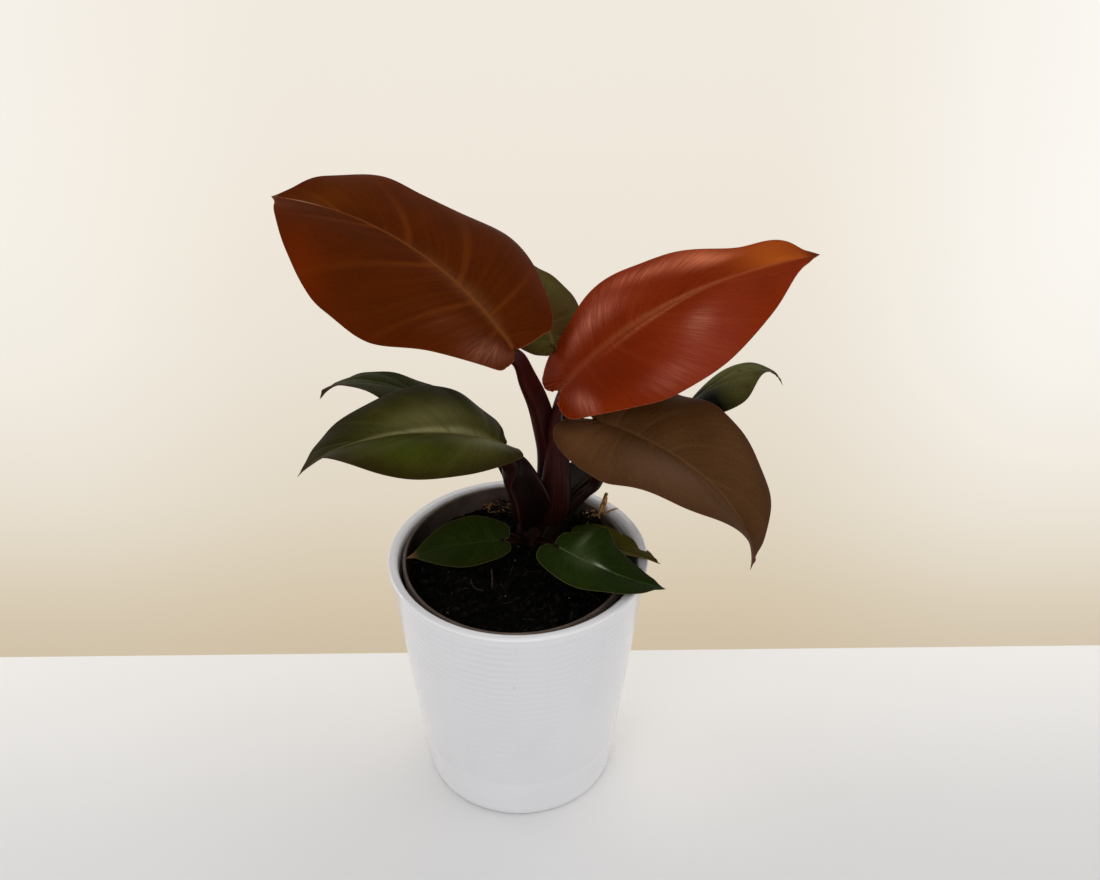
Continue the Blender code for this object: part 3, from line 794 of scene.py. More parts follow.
@dataclass
class Soil:
    """Dark peat mix with crumbs, fibres, bark chips and perlite on it.

    A clump is given by the place of its middle, its half width and its height, a heap by its middle.
    """

    pot: NurseryPot
    level: float = 0.1305
    rise_to_back: float = 0.095
    rise_to_right: float = 0.02
    lump: float = 0.0007
    foot: float = 0.0078
    rings: int = 70
    steps: int = 190
    cover: float = 0.97
    crown_radius: float = 0.0088
    mound: float = 0.0035
    crumb_batches: int = 36
    crumbs_per_batch: int = 46
    clumps: tuple[tuple[float, float, float, float], ...] = (
        (-0.0110, 0.0500, 0.0080, 0.0045),
        (0.0390, 0.0390, 0.0090, 0.0062),
        (0.0440, 0.0360, 0.0045, 0.0040),
    )
    perlite_count: int = 12
    perlite_places: tuple[tuple[float, float], ...] = (
        (-0.0150, 0.0033), (-0.0146, 0.0026), (-0.0508, -0.0196), (-0.0369, -0.0296),
    )
    chip_count: int = 40
    loose_fibres: int = 46
    heap_fibres: int = 34
    heap_straws: int = 44
    straw_heap: tuple[float, float] = (-0.0125, 0.0500)
    speck_count: int = 30
    speck_heap: tuple[float, float] = (0.0395, 0.038)
    long_fibres: tuple[Strand, ...] = (
        Strand(((-0.0145, -0.0005, 0.1340), (-0.0139, -0.0070, 0.1332), (-0.0138, -0.0125, 0.1318)),
               (0.0006, 0.0004), 8, 8),
        Strand(((-0.0255, -0.0058, 0.1325), (-0.0250, -0.0100, 0.1330), (-0.0225, -0.0140, 0.1322),
                (-0.0181, -0.0150, 0.1318)), (0.0003, 0.0002), 6, 12),
    )
    stubs: tuple[Strand, ...] = (
        Strand(((0.0450, 0.0395, 0.1400), (0.0462, 0.0402, 0.1465), (0.0489, 0.0420, 0.1550)),
               (0.0013, 0.0010), 10, 10),
        Strand(((0.0452, 0.0390, 0.1400), (0.0480, 0.0402, 0.1470), (0.0493, 0.0420, 0.1520)),
               (0.0007, 0.0004), 8, 10),
        Strand(((0.0470, 0.0370, 0.1440), (0.0520, 0.0392, 0.1455), (0.0555, 0.0410, 0.1452)),
               (0.0006, 0.0004), 8, 8),
    )
    seed: int = 7

    def height_at(self, x: float, y: float) -> float:
        """Height of the soil's rough top.

        Args:
            x: Place to the right.
            y: Place to the back.

        Returns:
            The height above the glazed pot's foot.
        """
        lumps = math.sin(x * 310 + 1.0) * math.cos(y * 270) + 0.6 * math.sin(x * 170 - y * 420)
        height = self.level + self.rise_to_back * y + self.rise_to_right * x + self.lump * lumps
        place = Vector((x, y, 0.0))
        height += 0.0016 * noise.fractal(place * 95, 0.8, 2.1, 3)
        height += 0.0011 * max(noise.noise(place * 420), 0.0)
        for middle_x, middle_y, width, rise in self.clumps:
            height += rise * bell(math.hypot(x - middle_x, y - middle_y), width)
        return height + self.mound * bell(math.dist((x, y), CROWN_MIDDLE), 0.017)

    def inner_radius(self, height: float) -> float:
        """Radius of the nursery pot's inside at a height, less a little clearance."""
        return self.pot.radius_at(height) - self.pot.wall - 0.0003

    def bed(self) -> None:
        """Builds and dresses the body of the soil."""
        top_radius = self.inner_radius(self.level)
        profile = [(top_radius * ring / self.rings, self.level) for ring in range(self.rings + 1)]
        profile += [(self.inner_radius(height), height) for height in (0.1, self.foot)]
        profile.append((0.0, self.foot))
        bm = lathe(profile, self.steps)
        for vertex in bm.verts:
            if vertex.co.z > self.level - MERGE:
                rise = self.height_at(vertex.co.x + self.pot.x, vertex.co.y + self.pot.y)
                vertex.co.z = rise - 0.001 * smooth_step(vertex.co.xy.length, top_radius * 0.9, top_radius)
        bmesh.ops.translate(bm, verts=bm.verts, vec=(self.pot.x, self.pot.y, 0))
        peat = GrainFinish((2, 2, 1), (12, 10, 8), 260.0, 0.95, 0.0009, 0.04)
        settle(to_piece("soil_bed", bm, [peat.material("peat_mix")], 80), "peat", "soil")

    def spot(self, draw: random.Random) -> Vector:
        """Draws a place on the soil's top, clear of the crown.

        Args:
            draw: The source of chance.

        Returns:
            The place.
        """
        limit = self.inner_radius(self.level) - 0.001
        while True:
            reach = limit * math.sqrt(draw.uniform(0.0, self.cover ** 2))
            angle = draw.uniform(0.0, math.tau)
            x, y = self.pot.x + reach * math.cos(angle), self.pot.y + reach * math.sin(angle)
            if math.dist((x, y), CROWN_MIDDLE) > self.crown_radius * 0.8:
                return Vector((x, y, self.height_at(x, y)))

    def lump_of(self, bm: bmesh.types.BMesh, place: Vector, size: float, draw: random.Random,
                detail: int = 1, stretch: float = 1.0) -> None:
        """Adds an uneven lump.

        Args:
            bm: The mesh it goes into.
            place: Its middle.
            size: Its radius.
            draw: The source of chance.
            detail: Subdivisions of its round start.
            stretch: Its length as a share of its width.
        """
        turn = Matrix.Rotation(draw.uniform(0, math.tau), 4, Vector((draw.random(), draw.random(), 0.4)))
        squeeze = Matrix.Diagonal((stretch, draw.uniform(0.6, 1.0), draw.uniform(0.45, 0.85), 1.0))
        made = bmesh.ops.create_icosphere(bm, subdivisions=detail, radius=size,
                                          matrix=Matrix.Translation(place) @ turn @ squeeze)["verts"]
        for vertex in made:
            swell = 1 + 0.45 * noise.noise(vertex.co * (0.9 / size))
            vertex.co = place + (vertex.co - place) * swell

    def crumbs(self) -> None:
        """Scatters loose crumbs of peat over the top, in batches that are then joined."""
        draw = random.Random(self.seed)
        whole = bmesh.new()
        for _ in range(self.crumb_batches):
            bm = bmesh.new()
            for _ in range(self.crumbs_per_batch):
                size = 0.0004 + 0.0017 * draw.random() ** 2.6
                place = self.spot(draw)
                place.z += size * draw.uniform(-0.2, 0.5)
                self.lump_of(bm, place, size, draw, 2 if size > 0.0009 else 1)
            for x, y, width, _ in self.clumps:
                spot = Vector((draw.gauss(x, width * 0.5), draw.gauss(y, width * 0.35), 0.0))
                spot.z = self.height_at(spot.x, spot.y)
                reach = math.hypot(spot.x - self.pot.x, spot.y - self.pot.y)
                if reach < self.inner_radius(self.level) - 0.002:
                    self.lump_of(bm, spot, draw.uniform(0.0008, 0.0022), draw, 2)
            batch = bpy.data.meshes.new("batch")
            bm.to_mesh(batch)
            bm.free()
            whole.from_mesh(batch)
            bpy.data.meshes.remove(batch)
        crumb = GrainFinish((3, 2, 2), (24, 20, 15), 330.0, 0.92, 0.0005, 0.05)
        settle(to_piece("soil_crumbs", whole, [crumb.material(BitKind.CRUMB.value)], 60), "peat")

    def in_straw_heap(self, draw: random.Random) -> tuple[float, float]:
        """A place in the heap of straw at the back, drawn by chance."""
        x, y = self.straw_heap
        return x + draw.uniform(-0.006, 0.006), y + draw.uniform(-0.004, 0.003)

    def perlite(self, draw: random.Random) -> None:
        """Adds the white grains.

        Args:
            draw: The source of chance.
        """
        bm = bmesh.new()
        places = [self.spot(draw) for _ in range(self.perlite_count)]
        places += [Vector((x, y, self.height_at(x, y))) for x, y in self.perlite_places]
        for place in places:
            size = draw.uniform(0.0003, 0.0007)
            self.lump_of(bm, place + Vector((0, 0, size * 0.6)), size, draw, 2)
        finish = GrainFinish((84, 80, 72), (150, 146, 136), 900.0, 0.85, 0.0003)
        settle(to_piece("soil_perlite", bm, [finish.material(BitKind.PERLITE.value)], 60), "peat")

    def bark(self, draw: random.Random) -> None:
        """Adds the bark chips.

        Args:
            draw: The source of chance.
        """
        bm = bmesh.new()
        for _ in range(self.chip_count):
            size = draw.uniform(0.0006, 0.0018)
            place = self.spot(draw) + Vector((0, 0, size * 0.3))
            self.lump_of(bm, place, size, draw, 2, draw.uniform(1.4, 2.6))
        finish = GrainFinish((8, 6, 4), (38, 29, 20), 420.0, 0.8, 0.0005, 0.08)
        settle(to_piece("soil_bark", bm, [finish.material(BitKind.BARK.value)], 60), "peat")

    def fibres(self, draw: random.Random) -> None:
        """Adds the fibres, loose ones and those in the heap of straw.

        Args:
            draw: The source of chance.
        """
        bm = bmesh.new()
        for number in range(self.loose_fibres + self.heap_fibres):
            loose = number < self.loose_fibres
            if loose:
                x, y, _ = self.spot(draw)
                heading, length = draw.uniform(0, math.tau), draw.uniform(0.003, 0.011)
            else:
                x, y = self.in_straw_heap(draw)
                heading, length = draw.uniform(-0.9, 0.9), draw.uniform(0.004, 0.008)
            place = Vector((x, y, 0.0))
            points = []
            for _ in range(4):
                heading += draw.uniform(-0.5, 0.5)
                lift = 0.0004 + draw.uniform(0.0, 0.0020 if loose else 0.0035)
                points.append(Vector((place.x, place.y, self.height_at(place.x, place.y) + lift)))
                place = place + Vector((math.cos(heading), math.sin(heading), 0)) * (length / 3)
            wire(bm, points, (draw.uniform(0.0001, 0.00022), 0.0001), 5, 6)
        for strand in self.long_fibres:
            strand.make(bm)
        finish = GrainFinish((22, 16, 11), (76, 60, 44), 700.0, 0.75, 0.0002, 0.2)
        settle(to_piece("soil_fibres", bm, [finish.material(BitKind.FIBRE.value)], 60), "peat")

    def straw(self, draw: random.Random) -> None:
        """Adds the straw stub with its twigs, the heap of straw and the golden specks.

        Args:
            draw: The source of chance.
        """
        bm = bmesh.new()
        for strand in self.stubs:
            strand.make(bm)
        for _ in range(self.heap_straws):
            x, y = self.in_straw_heap(draw)
            start = Vector((x, y, self.height_at(x, y)))
            way = Vector((draw.uniform(-1, 1), draw.uniform(-0.6, 0.4), draw.uniform(0.1, 0.9))) * 0.003
            end = start + way * 1.8 + Vector((0, 0, -0.0008))
            wire(bm, [start, start + way, end], (0.00032, 0.00015), 5, 6)
        for _ in range(self.speck_count):
            x, y = self.speck_heap
            place = Vector((draw.gauss(x, 0.004), draw.gauss(y, 0.003), 0.0))
            place.z = self.height_at(place.x, place.y) + 0.0012
            self.lump_of(bm, place, draw.uniform(0.0003, 0.0007), draw, 1, 1.6)
        finish = GrainFinish((104, 72, 40), (190, 146, 92), 500.0, 0.6, 0.0002, 0.1)
        settle(to_piece("soil_straw", bm, [finish.material(BitKind.STRAW.value)], 60), "peat")

    def make(self) -> None:
        """Builds the soil and what lies on it."""
        self.bed()
        self.crumbs()
        draw = random.Random(self.seed + 1)
        for add in (self.perlite, self.bark, self.fibres, self.straw):
            add(draw)


# Leaves


MAROON = StalkFinish((16, 4, 3), (42, 15, 11), (82, 42, 34), (12, 3, 2))
RED_STALK = StalkFinish((36, 9, 7), (74, 27, 21), (78, 34, 28), (42, 10, 8))
WINE = StalkFinish((26, 8, 5), (54, 24, 15), (70, 40, 28), (20, 6, 4))
OLIVE_STALK = StalkFinish((50, 40, 8), (74, 62, 24), (80, 62, 38), (46, 34, 8))
GREEN_STALK = StalkFinish((18, 17, 3), (42, 36, 12), (80, 62, 38), (24, 10, 4))


@dataclass(frozen=True)
class Half:
    """One half of a blade: its outline as shares of the half width, and the waves of its margin.

    lobe is how far the half reaches back behind the joint, and turn is where its shoulder passes into the
    widest part, both as shares of the length. A wave is the height of its crest at the margin and the
    crest's place along the blade.
    """

    lobe: float = 0.08
    shoulder: float = 0.86
    wide: float = 1.0
    middle: float = 0.90
    far: float = 0.58
    tip: float = 0.27
    wave: tuple[float, float] = (0.0, 0.35)
    late_wave: tuple[float, float] = (0.0, 0.70)
    turn: float = 0.14

    wave_span = 0.4
    late_span = 0.3
    steps = 400

    def outline(self, ratio: float) -> Vector:
        """Point of the flat margin.

        Args:
            ratio: Place along the margin, joint to tip.

        Returns:
            Half width and distance along, as ratios.
        """
        base = self.shoulder
        stations = [Vector((x, y)) for x, y in (
            (0.0, 0.0), (0.16 * base, -0.8 * self.lobe), (0.5 * base, -self.lobe),
            (0.82 * base, -0.3 * self.lobe), (0.5 * (base + self.wide), self.turn), (self.wide, 0.32),
            (self.middle, 0.54), (self.far, 0.75), (self.tip, 0.89), (0.3 * self.tip, 0.96), (0.0, 1.0),
        )]
        return curve_point(stations, ratio)

    def margin(self) -> list[Vector]:
        """Points of the flat margin at even steps."""
        return [self.outline(step / self.steps) for step in range(self.steps + 1)]

    def crest(self, along: float) -> float:
        """Height of the waves at the margin.

        Args:
            along: Place along the blade.

        Returns:
            The height in metres.
        """
        height = 0.0
        for (rise, station), span in ((self.wave, self.wave_span), (self.late_wave, self.late_span)):
            part = min(max((along - station) / span, -0.5), 0.5)
            height += rise * math.cos(math.pi * part) ** 2
        return height


@dataclass
class Leaf:
    """One leaf: its place, its outline, how it is bent, and its finishes.

    Angles are in degrees. heading turns from +X towards +Y; sweep is its change along the midrib and bow is
    a bend to the side that is greatest half way. rise is the midrib's slope at the joint, droop is what it
    loses by the tip, bend says how late it loses it, and arch is a rise that is greatest half way. roll
    lifts the left half and twist adds to it along the blade. fold is the angle of each half above the flat,
    and curl is how far a half turns back down towards its edge. route is the stalk's middle line, spin turns
    its channel away from the blade's heading, and pinch makes its foot narrower.
    """

    name: str
    joint: Place
    route: tuple[Place, ...]
    heading: float
    sweep: float
    rise: float
    droop: float
    bend: float
    roll: float
    twist: float
    length: float
    width: float
    fold: float
    curl: float
    finish: BladeFinish
    left: Half = Half()
    right: Half = Half()
    bow: float = 0.0
    arch: float = 0.0
    foot_width: float = 0.011
    top_width: float = 0.006
    taper: float = 0.6
    channel: float = 0.36
    spin: float = 0.0
    pinch: float = 0.0
    rows: int = 150
    columns: int = 56
    veins: float = 8.0
    vein_depth: float = 0.0003
    ripple: float = 0.0005
    pucker: float = 0.0
    midrib_height: float = 0.0018
    gutter: float = 0.0004
    skin: StalkFinish = MAROON

    vein_sweep = 2.4
    vein_curve = 1.4
    midrib_steps = 120
    thin = 0.22
    fade_start = 0.82
    crowding = 0.55
    crease = 0.045
    near_steps = 20
    stalk_columns = 40
    stalk_rows = 22
    stalk_depth = 0.84
    neck = 0.10
    collar = 0.05
    wing = 0.12
    ridge = 0.012
    ridge_count = 15

    def __post_init__(self) -> None:
        """Walks the midrib, and draws the leaf's own chance."""
        draw = random.Random(self.name)
        self.phases = [draw.uniform(0.0, math.tau) for _ in range(4)]
        self.points = [Vector(self.joint)]
        step = self.length / self.midrib_steps
        for index in range(self.midrib_steps):
            ahead = self.travel((index + 0.5) / self.midrib_steps)
            self.points.append(self.points[-1] + ahead * step)

    def azimuth(self, ratio: float) -> float:
        """Direction of the midrib seen from above, in radians."""
        held = max(ratio, 0.0)
        return math.radians(self.heading + self.sweep * held ** 1.2 + self.bow * math.sin(math.pi * held))

    def travel(self, ratio: float) -> Vector:
        """Direction of the midrib in space.

        Args:
            ratio: Place along the midrib.

        Returns:
            The direction, of length 1.
        """
        held = max(ratio, 0.0)
        arch = self.arch * math.sin(math.pi * held)
        slope = math.radians(self.rise - self.droop * held ** self.bend + arch)
        azimuth = self.azimuth(ratio)
        flat = math.cos(slope)
        return Vector((flat * math.cos(azimuth), flat * math.sin(azimuth), math.sin(slope)))

    def frame(self, ratio: float) -> tuple[Vector, Vector, Vector, Vector]:
        """Point of the midrib and the directions there.

        Args:
            ratio: Place along the midrib, straight behind the joint.

        Returns:
            The point, and the directions of travel, left and up.
        """
        held = min(max(ratio, 0.0), 1.0)
        place = held * self.midrib_steps
        index = min(int(place), self.midrib_steps - 1)
        ahead = self.travel(held)
        point = self.points[index].lerp(self.points[index + 1], place - index)
        point = point + ahead * min(ratio, 0.0) * self.length
        azimuth = self.azimuth(held)
        level = Vector((-math.sin(azimuth), math.cos(azimuth), 0.0))
        roll = math.radians(self.roll + self.twist * held)
        left = level * math.cos(roll) + ahead.cross(level) * math.sin(roll)
        return point, ahead, left, ahead.cross(left)

    def form(self, reach: float, ratio: float, phase: float, across: float) -> float:
        """Height of the fine forms over the plain bent blade.

        Args:
            reach: Distance from the midrib as a share of the half width.
            ratio: Place along the midrib and the margin, joint to tip.
            phase: Number of side veins passed since the joint.
            across: Distance from the midrib in metres.

        Returns:
            The height in metres.
        """
        fade = 1 - smooth_step(ratio, self.fade_start, 1.0)
        inner = smooth_step(reach, 0.02, 0.15) * (1 - reach ** 5) * smooth_step(ratio, 0.03, 0.15) * fade
        quilt = self.vein_depth * (0.6 * math.cos(math.tau * phase) - bell(phase % 1.0 - 0.5, 0.10)) * inner
        gutter = -self.gutter * bell(across, 0.0013) * (1 - 0.7 * ratio) * fade
        first, second, third, _ = self.phases
        edge = reach ** 6 * self.ripple * smooth_step(ratio, 0.0, 0.1) * fade
        waves = math.sin(ratio * 29 + first) + 0.6 * math.sin(ratio * 61 + second)
        folds = self.pucker * math.cos(ratio * 150 + third) * bell(ratio, 0.16) * reach
        return quilt + gutter + edge * waves + folds

    def place(self, across: float, along: float) -> tuple[Vector, Vector]:
        """Place in space of a point of the flat blade.

        Args:
            across: Share of the half width, the left side being above 0.
            along: Share of the length.

        Returns:
            The point and the direction that its skin faces.
        """
        point, _, left, up = self.frame(along)
        side = 1 if across > 0 else -1
        reach = abs(across)
        half = self.width / 2
        fold, curl = math.radians(self.fold), math.radians(self.curl)
        lateral = half * (math.sin(fold) - math.sin(fold - curl * reach)) / curl
        lift = half * (math.cos(fold - curl * reach) - math.cos(fold)) / curl
        lift += half * math.sin(fold) * (math.hypot(reach, self.crease) - reach)
        lift += (self.left if side > 0 else self.right).crest(along) * reach ** 2
        tilt = fold - curl * reach
        facing = up * math.cos(tilt) - left * side * math.sin(tilt) * smooth_step(reach, 0.0, 0.06)
        return point + left * lateral * side + up * lift, facing.normalized()

    def make_blade(self) -> None:
        """Builds and dresses the blade: rows of its grid run along the side veins."""
        bm = bmesh.new()
        bmesh.ops.create_grid(bm, x_segments=self.columns, y_segments=self.rows, size=1.0)
        veins = bm.verts.layers.float_vector.new("vein_place")
        places = bm.verts.layers.float_vector.new("blade_place")
        weights = bm.verts.layers.deform.verify()
        margins = {1: self.left.margin(), -1: self.right.margin()}
        for vertex in bm.verts:
            ratio = (vertex.co.y + 1) / 2
            side = -1 if vertex.co.x > 0 else 1
            margin = margins[side]
            index = min(int(ratio * Half.steps), Half.steps - 1)
            edge = margin[index].lerp(margin[index + 1], ratio * Half.steps - index)
            even = abs(vertex.co.x)
            reach = even - self.crowding * math.sin(math.tau * even) / math.tau
            across = edge.x * reach
            root = ratio ** self.vein_sweep
            along = root + (edge.y - root) * reach ** self.vein_curve
            phase = ratio * self.veins + 0.25 * side
            width = across * self.width / 2
            near = margin[max(index - self.near_steps, 0):index + self.near_steps + 1]
            to_edge = min(math.hypot(point.x * self.width / 2 - width, (point.y - along) * self.length)
                          for point in near)
            point, facing = self.place(across * side, along)
            vertex.co = point + facing * self.form(reach, ratio, phase, width)
            vertex[veins] = Vector((phase, reach * side, ratio))
            vertex[places] = Vector((width * 1000, to_edge * 1000, along))
            rib = bell(width, 0.0011 + 0.0008 * (1 - ratio)) * (1 - ratio) ** 0.7
            thin = self.thin * (1 - 0.5 * smooth_step(ratio, self.fade_start, 1.0))
            vertex[weights][0] = thin + (1 - thin) * rib
        bmesh.ops.remove_doubles(bm, verts=bm.verts, dist=SEAM)
        skins = [self.finish.material("blade_" + self.name, side) for side in BladeSide]
        piece = to_piece("leaf_" + self.name, bm, skins, 70)
        piece.vertex_groups.new(name="thickness")
        shell = piece.modifiers.new("thickness", "SOLIDIFY")
        shell.thickness = self.midrib_height
        shell.offset = -1.0
        shell.vertex_group = "thickness"
        shell.thickness_vertex_group = 0.0
        shell.material_offset = BladeSide.UNDER.value
        shell.material_offset_rim = BladeSide.RIM.value
        settle(piece, "blade_" + self.name, "blade_" + self.name)

    def stalk_route(self) -> list[Vector]:
        """Middle line of the stalk.

        Returns:
            Its points, from the crown to a little way along the underside of the midrib.
        """
        points = [Vector(point) for point in self.route]
        for ratio, depth in ((0.0, 0.42 * self.top_width), (0.05, 0.36 * self.top_width), (0.15, 0.0014)):
            point, _, _, up = self.frame(ratio)
            points.append(point - up * depth)
        return points

    def make_stalk(self) -> None:
        """Builds and dresses the stalk: a channelled, tapering tube that runs out under the midrib."""
        points = self.stalk_route()
        reach_joint = (len(points) - 3) / (len(points) - 1)
        _, _, left, _ = self.frame(0.0)
        heading = math.radians(self.heading + self.spin)
        level = Vector((-math.sin(heading), math.cos(heading), 0.0))
        bm = bmesh.new()
        rows = self.stalk_rows * len(points)
        bmesh.ops.create_grid(bm, x_segments=self.stalk_columns, y_segments=rows, size=1.0)
        layer = bm.verts.layers.float_vector.new("stalk_place")
        for vertex in bm.verts:
            ratio = (vertex.co.y + 1) / 2
            up_stalk = min(ratio / reach_joint, 1.0)
            beyond = max((ratio - reach_joint) / (1 - reach_joint), 0.0)
            centre = curve_point(points, ratio)
            travel = (curve_point(points, ratio + 0.012) - curve_point(points, ratio - 0.012)).normalized()
            aim = level.lerp(left, smooth_step(up_stalk, 0.6, 1.0))
            across = (aim - travel * aim.dot(travel)).normalized()
            inner = travel.cross(across)
            turn = math.pi * vertex.co.x
            taper = (1 - up_stalk) ** self.taper
            half = (self.top_width + (self.foot_width - self.top_width) * taper) / 2
            half *= 1 - self.pinch * (1 - smooth_step(up_stalk, 0.0, 0.3))
            half *= 1 - self.neck * bell(up_stalk - 0.84, 0.07) + self.collar * bell(up_stalk - 0.95, 0.04)
            half *= 1 - 0.86 * smooth_step(beyond, 0.0, 1.0)
            channel = (0.12 + self.channel * taper) * max(math.cos(turn), 0.0) ** 2.2 * (1 - 0.7 * beyond)
            wings = self.wing * bell(math.cos(turn) - 0.60, 0.11) * taper
            ridges = self.ridge * math.sin(turn * self.ridge_count) * (1 - beyond)
            reach_in = half * (self.stalk_depth - channel + wings + ridges)
            ring = inner * math.cos(turn) * reach_in + across * math.sin(turn) * half * (1 + wings + ridges)
            vertex.co = centre + ring
            vertex[layer] = Vector((math.cos(turn), math.sin(turn), up_stalk))
        bmesh.ops.remove_doubles(bm, verts=bm.verts, dist=MERGE)
        bmesh.ops.holes_fill(bm, edges=[edge for edge in bm.edges if edge.is_boundary], sides=0)
        bmesh.ops.recalc_face_normals(bm, faces=bm.faces)
        piece = to_piece("petiole_" + self.name, bm, [self.skin.material("petiole_skin_" + self.name)], 70)
        settle(piece, "stalk_maroon", "stalk_" + self.name)

    def make(self) -> None:
        """Builds the blade and its stalk."""
        self.make_blade()
        self.make_stalk()


